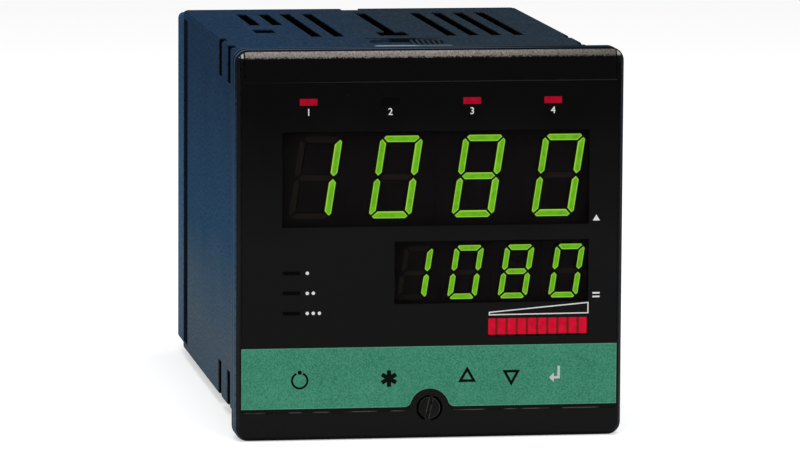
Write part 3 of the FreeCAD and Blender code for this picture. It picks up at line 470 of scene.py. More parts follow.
def circuit_board():
    """Green solder mask over fine traces, with a few small tinned vias."""
    look = Look("circuit_board", 0.45)
    _, y, z = look.axes()

    def lines(along, pitch, width):
        return look.remap(look.waves(along, pitch), width, width - 0.06)

    rows = look.times(lines(z, 1.27, 0.22), look.remap(look.noise(7.0, 1.0, (1.0, 0.35, 1.0)), 0.47, 0.5))
    columns = look.times(lines(y, 1.27, 0.22), look.remap(look.noise(6.0, 1.0, (1.0, 1.0, 0.3)), 0.55, 0.58))
    traces = look.most(rows, columns)
    vias = look.times(lines(y, 3.81, 0.13), lines(z, 2.54, 0.18))
    vias = look.times(vias, look.patches(6.0, 1.0, 0.58, 0.6))
    green = look.blend(look.noise(5.0, 3.0), (0.01, 0.075, 0.03), (0.014, 0.095, 0.04))
    colour = look.blend(look.times(traces, 0.7), green, (0.03, 0.16, 0.06))
    look.colour(look.blend(vias, colour, (0.3, 0.3, 0.27))).roughness(look.noise(0.8, 3.0), 0.25, 0.4)
    return look.bump((traces, 0.02), (look.noise(0.3), 0.004))


def dark_board():
    """Black solder mask of the display board, with faint traces."""
    look = Look("dark_board", 0.1)
    lines = look.remap(look.waves(look.axes()[0], 1.27), 0.22, 0.16)
    traces = look.times(lines, look.patches(6.0, 1.0, 0.5, 0.53))
    mask = look.blend(look.noise(4.0, 3.0), (0.004, 0.0042, 0.0042), (0.006, 0.0064, 0.0062))
    look.colour(look.blend(traces, mask, (0.01, 0.0115, 0.0105))).roughness(look.noise(0.8, 3.0), 0.4, 0.55)
    return look.bump((traces, 0.015), (look.noise(0.3), 0.004))


def laminations():
    """Stacked core sheets with dark seams and a little rust."""
    look = Look("laminations", 0.4).fixed(Metallic=0.6)
    sheets = look.waves(look.axes()[0], 0.5)
    steel = look.blend(look.noise(1.0, 4.0), (0.055, 0.055, 0.06), (0.1, 0.1, 0.105))
    rust = look.times(look.patches(2.2, 4.0, 0.55, 0.7), 0.5)
    steel = look.blend(rust, steel, (0.12, 0.05, 0.02))
    look.colour(look.blend(look.remap(sheets, 0.12, 0.04), steel, (0.012, 0.012, 0.013)))
    return look.roughness(look.noise(1.4, 3.0), 0.4, 0.6).bump((sheets, 0.03), (look.noise(0.4), 0.01))


def coil_tape():
    """Yellow tape in overlapping laps."""
    look = Look("coil_tape", 0.5)
    lap = look.remap(look.waves(look.axes()[1], 7.0), 0.06, 0.02)
    yellow = look.blend(look.noise(3.0, 3.0), (0.52, 0.31, 0.02), (0.62, 0.39, 0.04))
    look.colour(look.blend(look.times(lap, 0.6), yellow, (0.25, 0.14, 0.01)))
    return look.roughness(look.noise(1.0, 3.0), 0.22, 0.36).bump((lap, 0.05), (look.noise(2.0, 3.0), 0.05))


blue_case = case_plastic(
    "blue_case", upper=(0.015, 0.034, 0.069), middle=(0.0225, 0.06, 0.114), foot=(0.069, 0.0995, 0.13),
    top_sheen=(0.0185, 0.0295, 0.042), speck_and_highlight=(0.085, 0.105, 0.13))
rim_blue = case_plastic(
    "rim_blue", upper=(0.022, 0.06, 0.125), middle=(0.04, 0.095, 0.17), foot=(0.07, 0.115, 0.17),
    top_sheen=(0.02, 0.04, 0.07), speck_and_highlight=(0.1, 0.14, 0.2))
frame_black = frame_plastic()
film_black = film_look()
filter_glass = smoked_acrylic()
green_board = circuit_board()
black_board = dark_board()
core_steel = laminations()
winding_tape = coil_tape()

terminal_black = moulded_plastic(
    "terminal_black", (0.0042, 0.0058, 0.0085), (0.0062, 0.0085, 0.012), 0.5, 0.02, (0.5, 0.65), 0.0,
    (0.014, 0.014, 0.015), 0.2)
gasket_rubber = moulded_plastic(
    "gasket_rubber", (0.0045, 0.0045, 0.0045), (0.0075, 0.0075, 0.0075), 0.25, 0.03, (0.75, 0.9), 0.05)
chip_black = moulded_plastic(
    "chip_black", (0.01, 0.01, 0.011), (0.015, 0.015, 0.016), 0.2, 0.01, (0.55, 0.7), 0.3)
relay_blue = moulded_plastic(
    "relay_blue", (0.02, 0.06, 0.19), (0.026, 0.075, 0.22), 0.6, 0.01, (0.25, 0.36), 0.45,
    (0.06, 0.14, 0.32))
can_sleeve = moulded_plastic(
    "can_sleeve", (0.01, 0.012, 0.035), (0.014, 0.017, 0.048), 0.8, 0.01, (0.2, 0.3), 0.5)
key_grey = moulded_plastic("key_grey", (0.2, 0.2, 0.19), (0.25, 0.25, 0.24), 0.4, 0.01, (0.4, 0.55), 0.35)
housing_black = grainy(
    "display_housing", (0.016, 0.0132, 0.0143), (0.024, 0.02, 0.0217), 0.25, 0.04, (0.6, 0.8), 0.01)
ghost_bar = grainy(
    "ghost_bar", (0.0385, 0.0308, 0.0275), (0.051, 0.0405, 0.036), 0.5, 0.0, (0.45, 0.65), 0.006)
dark_lamp = grainy(
    "dark_lamp", (0.0028, 0.0024, 0.0026), (0.0036, 0.0031, 0.0034), 0.5, 0.0, (0.45, 0.65), 0.006)

strip_green = printed_ink("strip_green", (0.024, 0.15, 0.088), (0.068, 0.292, 0.188), 0.22, mottle=0.36)
strip_border = printed_ink("strip_border", (0.062, 0.235, 0.155), (0.105, 0.33, 0.23), mottle=0.36)
ink_white = printed_ink("ink_white", (0.62, 0.62, 0.6), (0.74, 0.74, 0.72), specular=0.25)
ink_grey = printed_ink("ink_grey", (0.4, 0.43, 0.41), (0.52, 0.54, 0.52), specular=0.25)
ink_black = printed_ink("ink_black", (0.003, 0.003, 0.003), (0.005, 0.005, 0.005))
dot_grey = printed_ink("dot_grey", (0.055, 0.055, 0.055), (0.08, 0.08, 0.078), specular=0.2)

THROUGH_FILTER = 2.0  # lit parts behind the filter glow stronger by this much
lit_green = lit(
    "lit_green", (0.145, 0.48, 0.012), (0.3, 0.6, 0.055), THROUGH_FILTER, body=(0.01, 0.02, 0.005))
lit_red_bar = lit("lit_red_bar", (0.68, 0.007, 0.035), (0.62, 0.008, 0.033), THROUGH_FILTER)
red_spill = lit("red_spill", (0.2, 0.018, 0.009), (0.2, 0.018, 0.009), THROUGH_FILTER)
lit_red = lit("lit_red", (0.4, 0.0016, 0.0175), (0.3, 0.0016, 0.016), 1.0, 1.2)

EVEN = (1.0, 1.0, 1.0)  # scratches with no direction
zinc = brushed_metal("zinc", (0.4, 0.4, 0.41), (0.58, 0.58, 0.57))
blackened = brushed_metal(
    "blackened", (0.007, 0.007, 0.007), (0.016, 0.015, 0.015), (0.3, 0.46), EVEN, (0.004, 0.004, 0.004),
    (0.16, 0.15, 0.14))
gold = brushed_metal("gold", (0.62, 0.42, 0.12), (0.8, 0.58, 0.2), (0.2, 0.34), EVEN, (0.4, 0.26, 0.08))
aluminium = brushed_metal(
    "aluminium", (0.56, 0.57, 0.58), (0.7, 0.7, 0.71), (0.25, 0.4), EVEN, (0.35, 0.35, 0.36))
brass = brushed_metal("brass", (0.55, 0.36, 0.12), (0.72, 0.5, 0.2), (0.25, 0.4), EVEN, (0.12, 0.07, 0.03))

NODE_LOOKS = (
    (blue_case, "sleeve"), (rim_blue, "rear_shroud"), (gasket_rubber, "panel_gasket"),
    (brass, "threaded_insert"), (terminal_black, "terminal_block case_connectors"), (zinc, "terminal_clamps"),
    (frame_black, "front_bezel"), (film_black, "overlay_film"), (filter_glass, "display_filter"),
    (housing_black, "pv_display sv_display bargraph_module"), (lit_red_bar, "bargraph_bars"),
    (lit_red, "output_led_1 output_led_3 output_led_4"), (dark_lamp, "output_led_2 status_leds"),
    (blackened, "retaining_screw screw_clip"), (black_board, "display_board"),
    (green_board, "main_board option_board power_board"), (core_steel, "transformer_core"),
    (winding_tape, "transformer_coil"), (relay_blue, "relays"), (can_sleeve, "filter_capacitors"),
    (chip_black, "key_switches board_headers main_board_chips option_board_chips"),
    (key_grey, "key_1 key_2 key_3 key_4 key_5"),
)
for material, node_names in NODE_LOOKS:
    for node_name in node_names.split():
        node = NODES[node_name]
        if not node.material_slots:
            node.data.materials.append(material)
        for material_slot in node.material_slots:
            material_slot.material = material


# ---- building helpers ----
def add_piece(name, mesh, body, material):
    """Puts a mesh into the scene as a piece that rides on a body."""
    piece = bpy.data.objects.new(name, mesh)
    bpy.context.scene.collection.objects.link(piece)
    mesh.materials.clear()
    mesh.materials.append(material)
    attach(piece, body)
    return piece


def build_piece(name, build, material, body=FRONT):
    """A piece whose mesh is filled by build(bmesh)."""
    work = bmesh.new()
    build(work)
    bmesh.ops.recalc_face_normals(work, faces=work.faces)
    mesh = bpy.data.meshes.new(name)
    work.to_mesh(mesh)
    work.free()
    return add_piece(name, mesh, body, material)


def box_into(work, xs, ys, zs):
    """Axis-aligned block, in millimetres."""
    size = Vector((xs[1] - xs[0], ys[1] - ys[0], zs[1] - zs[0]))
    middle = Vector((xs[0] + xs[1], ys[0] + ys[1], zs[0] + zs[1])) / 2
    matrix = Matrix.Translation(middle * MM) @ Matrix.Diagonal((*(size * MM), 1.0))
    bmesh.ops.create_cube(work, size=1.0, matrix=matrix)


def lathe_into(work, profile, at, axis, steps):
    """Revolves (radius, along) points, in millimetres, round an axis; both ends lie on the axis."""
    axis = Vector(axis)
    side = axis.orthogonal().normalized()
    other = axis.cross(side)
    turns = [2 * math.pi * k / steps for k in range(steps)]
    rings = []
    for radius, along in profile:
        centre = Vector(at) + axis * along
        spokes = [(side * math.cos(a) + other * math.sin(a)) * radius for a in turns]
        rings.append([work.verts.new((centre + spoke) * MM) for spoke in (spokes if radius else spokes[:1])])
    for low, high in zip(rings, rings[1:]):
        for k in range(steps):
            n = (k + 1) % steps
            if len(low) == 1:
                work.faces.new((low[0], high[k], high[n]))
            elif len(high) == 1:
                work.faces.new((low[k], low[n], high[0]))
            else:
                work.faces.new((low[k], low[n], high[n], high[k]))


def centre_of(node_name):
    """X and Z of the middle of a CAD node, in millimetres."""
    low, high = box_mm(node_name)
    middle = (low + high) / 2
    return middle.x, middle.z


def circle(x, z, radius, start=0.0, end=360.0, steps=48):
    """Points of an arc, in millimetres and degrees."""
    last = steps if abs(end - start) >= 360.0 else steps + 1
    turns = [math.radians(start + (end - start) * i / steps) for i in range(last)]
    return [(x + radius * math.cos(turn), z + radius * math.sin(turn)) for turn in turns]


def sides(outline):
    """Start and end of every side of a closed outline."""
    return zip(outline, outline[1:] + outline[:1])


def outlined(points, width):
    """A closed outline, either way round, and its inner edge `width` millimetres further in."""
    turn = 1.0 if sum(a[0] * b[1] - b[0] * a[1] for a, b in sides(points)) > 0 else -1.0
    inner = []
    for i, point in enumerate(points):
        here = Vector(point)
        along_in = (here - Vector(points[i - 1])).normalized()
        along_out = (Vector(points[(i + 1) % len(points)]) - here).normalized()
        normal_in = Vector((-along_in.y, along_in.x)) * turn
        normal_out = Vector((-along_out.y, along_out.x)) * turn
        bisector = (normal_in + normal_out).normalized()
        inner.append(tuple(here + bisector * (width / bisector.dot(normal_in))))
    return [points, inner]


# ---- printing on the film ----
film_low, film_high = box_mm("overlay_film")
INK_T = 0.03  # thickness of printed ink
INK_SINK = 0.006  # how far it sinks into the film
ON_STRIP = 0.8 * INK_T  # ink over the green strip stands this much further forward
FONT_SIZE = 1.38  # font size that gives figures of height 1
FIGURE_SWELL = 0.01  # makes the figures a little bolder


def stand_up(name, curve, material, x=0.0, z=0.0, raised=0.0):
    """Turns flat outlines into ink on the film at (x, z), facing the reader."""
    curve.extrude = INK_T / 2 * MM
    flat = bpy.data.objects.new(name + "_outline", curve)
    bpy.context.scene.collection.objects.link(flat)
    graph = bpy.context.evaluated_depsgraph_get()
    mesh = bpy.data.meshes.new_from_object(flat.evaluated_get(graph))
    bpy.data.objects.remove(flat)
    mesh.name = name
    at = Vector((x, film_low.y - INK_T / 2 + INK_SINK - raised, z))
    mesh.transform(Matrix.Translation(at * MM) @ Matrix.Rotation(math.pi / 2, 4, "X"))
    add_piece(name, mesh, FRONT, material)


def printed(name, loops, material, raised=0.0):
    """Ink on the film: outlines in millimetres, where an outline inside another is a hole."""
    curve = bpy.data.curves.new(name, "CURVE")
    curve.dimensions = "2D"
    curve.fill_mode = "BOTH"
    for loop in loops:
        spline = curve.splines.new("POLY")
        spline.points.add(len(loop) - 1)
        for point, (x, z) in zip(spline.points, loop):
            point.co = (x * MM, z * MM, 0.0, 1.0)
        spline.use_cyclic_u = True
    stand_up(name, curve, material, raised=raised)


def number(name, text, x, z, height, material):
    """A plain numeral centred at (x, z), in millimetres."""
    curve = bpy.data.curves.new(name, "FONT")
    curve.body = text
    curve.size = height * FONT_SIZE * MM
    curve.align_x = "CENTER"
    curve.align_y = "CENTER"
    curve.offset = FIGURE_SWELL * MM
    stand_up(name, curve, material, x, z)


STRIP_TOP = -25.0
STRIP_BOTTOM = -40.0
STRIP_BORDER = 0.2
ARCH_R = 4.9
ARCH_FLARE = 1.7


def strip_outline():
    """Green field over the keys, arched over the screw with flared feet."""
    screw_x, screw_z = centre_of("retaining_screw")
    half = film_high.x - 0.02
    flare_z = STRIP_BOTTOM + ARCH_FLARE
    flare_x = math.sqrt((ARCH_R + ARCH_FLARE) ** 2 - (flare_z - screw_z) ** 2)
    touch = math.degrees(math.atan2(flare_z - screw_z, flare_x))
    left_flare = circle(screw_x - flare_x, flare_z, ARCH_FLARE, -90.0, -touch, 10)
    arch = circle(screw_x, screw_z, ARCH_R, 180.0 - touch, touch, 40)
    right_flare = circle(screw_x + flare_x, flare_z, ARCH_FLARE, 180.0 + touch, 270.0, 10)
    return [(-half, STRIP_TOP), (-half, STRIP_BOTTOM), *left_flare[:-1], *arch, *right_flare[1:],
            (half, STRIP_BOTTOM), (half, STRIP_TOP)]


printed("key_strip", [strip_outline()], strip_green)
printed("key_strip_border", outlined(strip_outline(), STRIP_BORDER), strip_border, ON_STRIP)

TRIANGLE_LINE = 0.64
ARROW_LINE = 0.62


def ring_mark(x, z):
    """Open ring with a dot in its gap."""
    outer_r, line, gap = 2.15, 0.5, 26.0
    outer = circle(x, z, outer_r, 90.0 + gap, 450.0 - gap, 44)
    inner = circle(x, z, outer_r - line, 450.0 - gap, 90.0 + gap, 44)
    return [outer + inner, circle(x, z + 2.0, 0.52, steps=24)]


def star_mark(x, z):
    """Six-armed star as one outline."""
    arm, half_w = 2.05, 0.52
    foot = half_w / math.tan(math.radians(30))
    points = []
    for i in range(6):
        turn = math.radians(90 + 60 * i)
        direction = Vector((math.cos(turn), math.sin(turn)))
        side = Vector((direction.y, -direction.x)) * half_w
        points += [direction * foot + side, direction * arm + side, direction * arm - side]
    return [[(x + p.x, z + p.y) for p in points]]


def up_mark(x, z):
    half, height, drop = 2.24, 3.9, 1.2
    return outlined([(x - half, z - drop), (x + half, z - drop), (x, z - drop + height)], TRIANGLE_LINE)


def down_mark(x, z):
    half, height, rise = 2.2, 4.0, 1.6
    return outlined([(x - half, z + rise), (x, z + rise - height), (x + half, z + rise)], TRIANGLE_LINE)


def return_mark(x, z):
    """Hooked arrow, the usual sign for confirming an entry."""
    return [[(x + 1.15, z + 2.05), (x + 1.15, z - 1.1), (x - 0.35, z - 1.1), (x - 0.35, z - 1.95),
             (x - 1.55, z - 0.79), (x - 0.35, z + 0.37), (x - 0.35, z - 0.48),
             (x + 1.15 - ARROW_LINE, z - 0.48), (x + 1.15 - ARROW_LINE, z + 2.05)]]


KEY_MARKS = (("ring", ring_mark, -33.0, ink_black), ("star", star_mark, -32.85, ink_black),
             ("up", up_mark, -32.85, ink_black), ("down", down_mark, -32.85, ink_black),
             ("enter", return_mark, -32.5, ink_grey))
for key, (sign, mark, mark_z, ink) in enumerate(KEY_MARKS, 1):
    printed(f"key_mark_{sign}", mark(centre_of(f"key_{key}")[0], mark_z), ink, ON_STRIP)

FIGURE_H = 1.75
FIGURE_DROP = 2.55  # from the middle of a lamp to its number
for lamp in range(1, 5):
    led_x, led_z = centre_of(f"output_led_{lamp}")
    number(f"output_number_{lamp}", str(lamp), led_x, led_z - FIGURE_DROP, FIGURE_H, ink_white)

DOT_R = 0.42
DOT_PITCH = 1.5
STATUS_X = -30.4  # first dot by each status lamp
STATUS_Z = -6.5
STATUS_PITCH = 4.95
for row in range(1, 4):
    row_z = STATUS_Z - (row - 1) * STATUS_PITCH
    dots = [circle(STATUS_X + i * DOT_PITCH, row_z, DOT_R, steps=20) for i in range(row)]
    printed(f"status_mark_{row}", dots, ink_white)

printed("pv_mark", [[(40.3, 5.5), (42.1, 5.5), (41.2, 7.0)]], ink_white)
printed("sv_mark", [[(40.4, z + 0.2), (42.2, z + 0.2), (42.2, z - 0.2), (40.4, z - 0.2)]
                    for z in (-12.45, -13.35)], ink_white)

bar_low, bar_high = box_mm("bargraph_bars")
WEDGE_LINE = 0.27
wedge_right = bar_high.x + 0.05
wedge = [(bar_low.x, -17.62), (wedge_right, -17.5), (wedge_right, -14.65), (bar_low.x, -16.75)]
printed("bar_scale", outlined(wedge, WEDGE_LINE), ink_white)


# ---- light bars of the displays ----
DISPLAY_SLANT = math.tan(math.radians(8.6))
SEGMENT_GAP = 0.5
CORNER_NIP = 0.8  # corner cut off a digit, as a share of its stroke
DIGIT_SEGMENTS = {"0": "abcdef", "1": "bc", "8": "abcdefg"}
READING = "1080"
# X of each digit, Z of them all, then a digit's width, height and stroke
PV_DIGITS = ((-28.25, -8.38, 12.12, 31.99), 16.66, (10.5, 20.3, 1.55))
SV_DIGITS = ((-3.52, 9.06, 21.64, 34.22), -7.07, (7.3, 13.3, 1.35))
BAR_ACROSS = 8  # quads across and along one light bar
BAR_ALONG = 18
RIM_SLOPE = 0.06  # how far a bar's border lies behind its middle


def segment_outlines(glyph):
    """Outlines a to g of one upright digit centred on (0, 0), mitred at the corners."""
    width, height, stroke_w = glyph
    w, h, mid = width / 2, height / 2, stroke_w / 2
    gap = SEGMENT_GAP / math.sqrt(2)
    nip = CORNER_NIP * stroke_w
    inner_w, inner_h = w - stroke_w, h - stroke_w
    bevel = (nip - gap) / 2
    level = [(gap - inner_w, inner_h), (bevel + gap - w, h - bevel), (nip - w, h),
             (w - nip, h), (w - gap - bevel, h - bevel), (inner_w - gap, inner_h)]
    upright = [(w, h - nip), (w - bevel, h - gap - bevel), (inner_w, inner_h - gap),
               (inner_w, mid + gap), (w - mid, gap), (w, mid + gap)]
    tip, end = w - mid - gap, inner_w - gap
    middle = [(-tip, 0.0), (-end, mid), (end, mid), (tip, 0.0), (end, -mid), (-end, -mid)]

    def flipped(points, across, upwards):
        return [(across * x, upwards * z) for x, z in points]

    return {"a": level, "b": upright, "c": flipped(upright, 1, -1), "d": flipped(level, 1, -1),
            "e": flipped(upright, -1, -1), "f": flipped(upright, -1, 1), "g": middle}


def to_border(point, outline):
    """Distance from a point inside a convex outline to its border."""
    best = math.inf
    for start, end in sides(outline):
        edge = Vector(end) - Vector(start)
        if edge.length > 1e-6:
            offset = Vector(point) - Vector(start)
            best = min(best, abs(edge.x * offset.y - edge.y * offset.x) / edge.length)
    return best


def span_at(outline, axis, value):
    """Lowest and highest crossing of a convex outline with a line, along the other axis."""
    other = 1 - axis
    hits = []
    for start, end in sides(outline):
        low, high = sorted((start[axis], end[axis]))
        if low - 1e-9 <= value <= high + 1e-9:
            if high - low < 1e-9:
                hits += [start[other], end[other]]
            else:
                share = (value - start[axis]) / (end[axis] - start[axis])
                hits.append(start[other] + (end[other] - start[other]) * share)
    return min(hits), max(hits)


def light_bar(work, outline, x0, z0, front, back, stroke_w):
    """One bar as a fine grid; the vertex value 'rim' is 1 on its border and 0 along its middle."""
    rim_layer = work.verts.layers.float.get("rim") or work.verts.layers.float.new("rim")
    xs, zs = zip(*outline)
    axis = 0 if max(xs) - min(xs) > max(zs) - min(zs) else 1
    ends = (xs, zs)[axis]
    low, high = min(ends), max(ends)
    stations = {round(low + (high - low) * k / BAR_ALONG, 6) for k in range(BAR_ALONG + 1)}
    stations |= {round(end, 6) for end in ends}
    rows = []
    for station in sorted(stations):
        near, far = span_at(outline, axis, min(max(station, low), high))
        row = []
        for k in range(BAR_ACROSS + 1):
            across = near + (far - near) * k / BAR_ACROSS
            point = (station, across) if axis == 0 else (across, station)
            rim = 1.0 - min(1.0, to_border(point, outline) / (0.5 * stroke_w))
            x, z = x0 + point[0] + point[1] * DISPLAY_SLANT, z0 + point[1]
            vert = work.verts.new((x * MM, (front + RIM_SLOPE * rim ** 3) * MM, z * MM))
            vert[rim_layer] = rim
            row.append(vert)
        rows.append(row)
    for one, two in zip(rows, rows[1:]):
        for k in range(BAR_ACROSS):
            work.faces.new((one[k], one[k + 1], two[k + 1], two[k]))
    around = [row[0] for row in rows] + rows[-1][1:] + [row[-1] for row in rows[-2::-1]] + rows[0][-2:0:-1]
    behind = []
    for vert in around:
        twin = work.verts.new((vert.co.x, back * MM, vert.co.z))
        twin[rim_layer] = 1.0
        behind.append(twin)
    for (one, one_behind), (two, two_behind) in sides(list(zip(around, behind))):
        work.faces.new((one, two, two_behind, one_behind))
    work.faces.new(behind)


def display_bars(node_name, digits, shown):
    """Lit or unlit bars of one display; `shown` is True for the lit ones."""
    low, high = box_mm(node_name)
    places, z0, glyph = digits

    def build(work):
        for x0, figure in zip(places, READING):
            for letter, outline in segment_outlines(glyph).items():
                if shown == (letter in DIGIT_SEGMENTS[figure]):
                    light_bar(work, outline, x0, z0, low.y, high.y, glyph[2])
    return build


for display, digits in (("pv", PV_DIGITS), ("sv", SV_DIGITS)):
    node_name = f"{display}_light_bars"
    lit_bars = display_bars(node_name, digits, True)
    lit_piece = build_piece(f"{display}_lit_bars", lit_bars, lit_green)
    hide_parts(node_name)
    dark_bars = display_bars(node_name, digits, False)
    build_piece(f"{display}_dark_bars", dark_bars, ghost_bar)

BLOCKS = 10  # blocks of the bar display
BLOCK_PITCH = 2.54
BLOCK_W = 1.95


def spill_between_bars(work):
    """Red glow between the blocks of the bar display."""
    ys = (bar_low.y - 0.07, bar_low.y - 0.04)
    for i in range(BLOCKS - 1):
        x0 = bar_low.x + i * BLOCK_PITCH + BLOCK_W
        box_into(work, (x0, x0 + BLOCK_PITCH - BLOCK_W), ys, (bar_low.z, bar_high.z))


build_piece("bar_glow", spill_between_bars, red_spill)


# ---- fasteners ----
HEAD_STEPS = 14  # sides of each half of a screw head
HEAD_BEVEL = 0.12  # as a share of the head's radius
SLOT_FLOOR = 0.45  # height of the slot's floor, as a share of the head's height
FLOOR_REACH = 0.98  # the floor ends this share of the way to the head's side
TERMINAL_COLUMNS = (-29.0, 0.0, 29.0)
TERMINALS = 10
TERMINAL_PITCH = 7.62
BOARD_SCREW_AT = (-38.0, 38.0)


def cheese_head(work, at, radius, height, slot_width):
    """Slotted screw head that faces the rear: two halves either side of a slot, and the slot's floor."""
    at = Vector(at)
    axis = Vector((0.0, 1.0, 0.0))
    slot_angle = random.uniform(0, math.pi)
    along = (Matrix.Rotation(slot_angle, 3, axis) @ axis.orthogonal().normalized()).normalized()
    across = axis.cross(along)
    half = slot_width / 2
    bevel = radius * HEAD_BEVEL
    start = math.asin(half / radius)
    turns = [start + (math.pi - 2 * start) * k / HEAD_STEPS for k in range(HEAD_STEPS + 1)]
    for sign in (1.0, -1.0):
        rings = []
        for r, level in ((radius, 0.0), (radius, height - bevel), (radius - bevel, height)):
            arc = [(along * math.cos(a) + across * (sign * math.sin(a))) * r for a in turns]
            rings.append([work.verts.new((at + point + axis * level) * MM) for point in arc])
        for low, high in zip(rings, rings[1:]):
            for (a, b), (c, d) in sides(list(zip(low, high))):
                work.faces.new((a, c, d, b))
        work.faces.new(rings[-1])
        work.faces.new(rings[0])
    corners = [along * radius * c + across * half * s for c, s in ((1, 1), (-1, 1), (-1, -1), (1, -1))]
    floor = axis * height * SLOT_FLOOR
    low = [work.verts.new((at + corner * FLOOR_REACH) * MM) for corner in corners]
    high = [work.verts.new((at + corner * FLOOR_REACH + floor) * MM) for corner in corners]
    for (a, b), (c, d) in sides(list(zip(low, high))):
        work.faces.new((a, c, d, b))
    work.faces.new(high)
    work.faces.new(low)


def terminal_screws(work):
    base = box_mm("terminal_clamps")[0].y + 0.8
    for x in TERMINAL_COLUMNS:
        for i in range(TERMINALS):
            z = (i - (TERMINALS - 1) / 2) * TERMINAL_PITCH
            cheese_head(work, (x, base, z), 2.5, 2.0, 0.7)


def board_screws(work):
    base = box_mm("display_board")[1].y
    for x in BOARD_SCREW_AT:
        for z in BOARD_SCREW_AT:
            cheese_head(work, (x, base, z), 2.1, 1.4, 0.6)


random.seed(4)
build_piece("terminal_screws", terminal_screws, zinc, CASE)
build_piece("board_screws", board_screws, zinc)


# ---- spacers, metal and marks inside ----
BOARDS = ("main_board", "option_board", "power_board")
CHIP_BOARDS = BOARDS[:2]
PITCH = 2.54  # pitch of pins, legs and contact fingers
END_MARGIN = 0.6  # from a chip's end to its first and last leg
LEG_W = 0.5
LEG_T = 0.28
LEG_SHOULDER = 0.45  # height at which a leg enters the body, as a share of it
BODY_GAP = 0.6  # the chip's body stands this far off the board
DOT_PROFILE = ((0.0, 0.04), (0.42, 0.04), (0.5, 0.0), (0.0, -0.02))
SOLDER_PROFILE = ((0.0, -0.02), (0.95, -0.02), (0.9, 0.05), (0.5, 0.35), (0.34, 0.7), (0.0, 0.78))
FINGER_W = 1.5
FINGER_T = 0.03
FINGER_L = 3.4
FINGER_INSET = 0.5  # from the tongue's end to its fingers
FINGERS_HALF = 32.0  # half of the height they spread over
PIN_W = 0.64
PIN_REACH = 1.6
SCORE_W = 0.28
SCORE_T = 0.03


def solids_of(node_name):
    """Lowest and highest corners, in millimetres, of each separate solid of a CAD node."""
    work = bmesh.new()
    work.from_mesh(NODES[node_name].data)
    bmesh.ops.remove_doubles(work, verts=work.verts, dist=1e-6)
    seen = set()
    boxes = []
    for start in work.verts:
        if start in seen:
            continue
        seen.add(start)
        queue = [start]
        for vert in queue:
            for edge in vert.link_edges:
                near = edge.other_vert(vert)
                if near not in seen:
                    seen.add(near)
                    queue.append(near)
        boxes.append([[end(vert.co[axis] for vert in queue) / MM for axis in range(3)] for end in (min, max)])
    work.free()
    return boxes


def evenly(low, high, pitch):
    """Places at a pitch, centred between two ends."""
    count = int((high - low) / pitch)
    first = (low + high) / 2 - (count - 1) * pitch / 2
    return [first + i * pitch for i in range(count)]


def leg_places(low, high):
    return evenly(low[2] + END_MARGIN, high[2] - END_MARGIN, PITCH)


def module_spacers(work):
    """Dark strips that close the gaps between neighbouring display modules."""
    for node_name in ("pv_display", "sv_display"):
        modules = sorted(solids_of(node_name))
        for (low, high), (next_low, _) in zip(modules, modules[1:]):
            xs = (high[0] + 0.01, next_low[0] - 0.01)
            box_into(work, xs, (low[1] + 0.04, high[1] - 0.1), (low[2], high[2]))


def chip_legs(node_name):
    """Two rows of bent legs for every chip on a board."""
    def build(work):
        for low, high in solids_of(node_name):
            shoulder = low[0] + BODY_GAP + (high[0] - low[0] - BODY_GAP) * LEG_SHOULDER
            for z in leg_places(low, high):
                for edge_y, outwards in ((low[1], -1), (high[1], 1)):
                    shank = sorted((edge_y + outwards * 0.35, edge_y + outwards * (0.35 + LEG_T)))
                    box_into(work, (low[0], shoulder), shank, (z - LEG_W / 2, z + LEG_W / 2))
                    bend = sorted((edge_y - outwards * 0.2, edge_y + outwards * 0.36))
                    box_into(work, (shoulder - LEG_T, shoulder), bend, (z - LEG_W, z + LEG_W))
    return build


def chip_dots(node_name):
    """Moulded dot by the first leg of every chip."""
    def build(work):
        for low, high in solids_of(node_name):
            at = (high[0] - 0.01, low[1] + 1.5, high[2] - 1.6)
            lathe_into(work, DOT_PROFILE, at, (1, 0, 0), 20)
    return build


def joints_of_chips(node_name):
    """Y and Z of every leg's solder joint."""
    return [(y, z) for low, high in solids_of(node_name)
            for z in leg_places(low, high) for y in (low[1] - 0.5, high[1] + 0.5)]


def joints_of_power_board():
    """Feet of the relays, the capacitors and the transformer."""
    places = []
    for low, high in solids_of("relays"):
        middle = (low[2] + high[2]) / 2
        places.append((low[1] + 3.0, middle))
        places += [(high[1] - inset, middle + z) for inset in (4.0, 9.0) for z in (-3.8, 3.8)]
    for _, at in capacitors():
        places += [(at.y - 2.5, at.z), (at.y + 2.5, at.z)]
    coil_low, coil_high = box_mm("transformer_coil")
    places += [(y, z) for z in (coil_low.z + 2.0, coil_high.z - 2.0)
               for y in evenly(coil_low.y, coil_high.y, 2 * PITCH)]
    return places


def solder_joints(board, places):
    """Small cones of solder on a board's bare face, with the cut end of a lead in each."""
    def build(work):
        low, high = box_mm(board)
        face, outwards = (high.x, 1) if board == "power_board" else (low.x, -1)
        for y, z in places:
            lathe_into(work, SOLDER_PROFILE, (face, y, z), (outwards, 0, 0), 12)
    return build


def contact_fingers(board):
    """Gold fingers on both faces of a board's tongue."""
    def build(work):
        low, high = box_mm(board)
        ys = (high.y - FINGER_L - FINGER_INSET, high.y - FINGER_INSET)
        for z in evenly(-FINGERS_HALF, FINGERS_HALF, PITCH):
            for face in (low.x, high.x):
                box_into(work, (face - FINGER_T, face + FINGER_T), ys, (z - FINGER_W / 2, z + FINGER_W / 2))
    return build


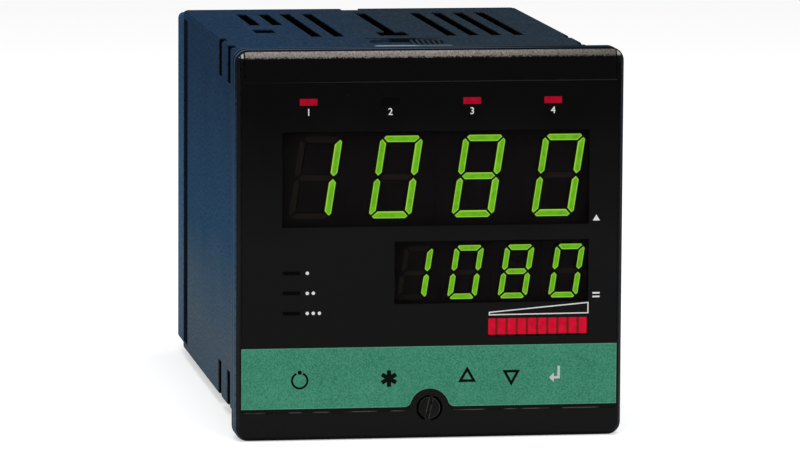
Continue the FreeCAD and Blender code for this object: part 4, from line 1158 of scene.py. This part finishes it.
def header_pins(work):
    """Pins that leave each header's rear face and bend onto its board."""
    faces = [corner.x for board in BOARDS for corner in box_mm(board)]
    for low, high in solids_of("board_headers"):
        board_x = min(faces, key=lambda x: min(abs(x - low[0]), abs(x - high[0])))
        middle = (low[0] + high[0]) / 2
        end = high[1] + PIN_REACH
        for z in evenly(low[2], high[2], PITCH):
            zs = (z - PIN_W / 2, z + PIN_W / 2)
            box_into(work, (middle - PIN_W / 2, middle + PIN_W / 2), (high[1] - 0.2, end), zs)
            box_into(work, sorted((board_x, middle)), (end - PIN_W, end), zs)


def capacitors():
    """Radius and middle of the top of each capacitor."""
    return [((high[1] - low[1]) / 2, Vector((low[0], (low[1] + high[1]) / 2, (low[2] + high[2]) / 2)))
            for low, high in solids_of("filter_capacitors")]


def capacitor_tops(work):
    """Aluminium discs inside the crimped sleeve ends."""
    for radius, at in capacitors():
        profile = ((0.0, 0.03), (radius * 0.74, 0.03), (radius * 0.8, -0.02), (0.0, -0.04))
        lathe_into(work, profile, at, (-1, 0, 0), 40)


def capacitor_scores(work):
    """Three-armed vent score on each disc."""
    for radius, at in capacitors():
        place = Matrix.Translation((at - Vector((0.035, 0.0, 0.0))) * MM)
        size = Matrix.Diagonal((SCORE_T * MM, radius * 0.6 * MM, SCORE_W * MM, 1.0))
        out = Matrix.Translation((0.0, radius * 0.3 * MM, 0.0))
        for degrees in (90, 210, 330):
            turn = Matrix.Rotation(math.radians(degrees), 4, "X")
            bmesh.ops.create_cube(work, size=1.0, matrix=place @ turn @ out @ size)


build_piece("module_spacers", module_spacers, housing_black)
for board in CHIP_BOARDS:
    build_piece(f"{board}_chip_legs", chip_legs(f"{board}_chips"), zinc)
    build_piece(f"{board}_chip_dots", chip_dots(f"{board}_chips"), dot_grey)
for board in BOARDS:
    leads = joints_of_chips(f"{board}_chips") if board in CHIP_BOARDS else joints_of_power_board()
    build_piece(f"{board}_solder", solder_joints(board, leads), aluminium)
for board in BOARDS:
    build_piece(f"{board}_fingers", contact_fingers(board), gold)
build_piece("header_pins", header_pins, gold)
build_piece("capacitor_tops", capacitor_tops, aluminium)
build_piece("capacitor_scores", capacitor_scores, dot_grey)
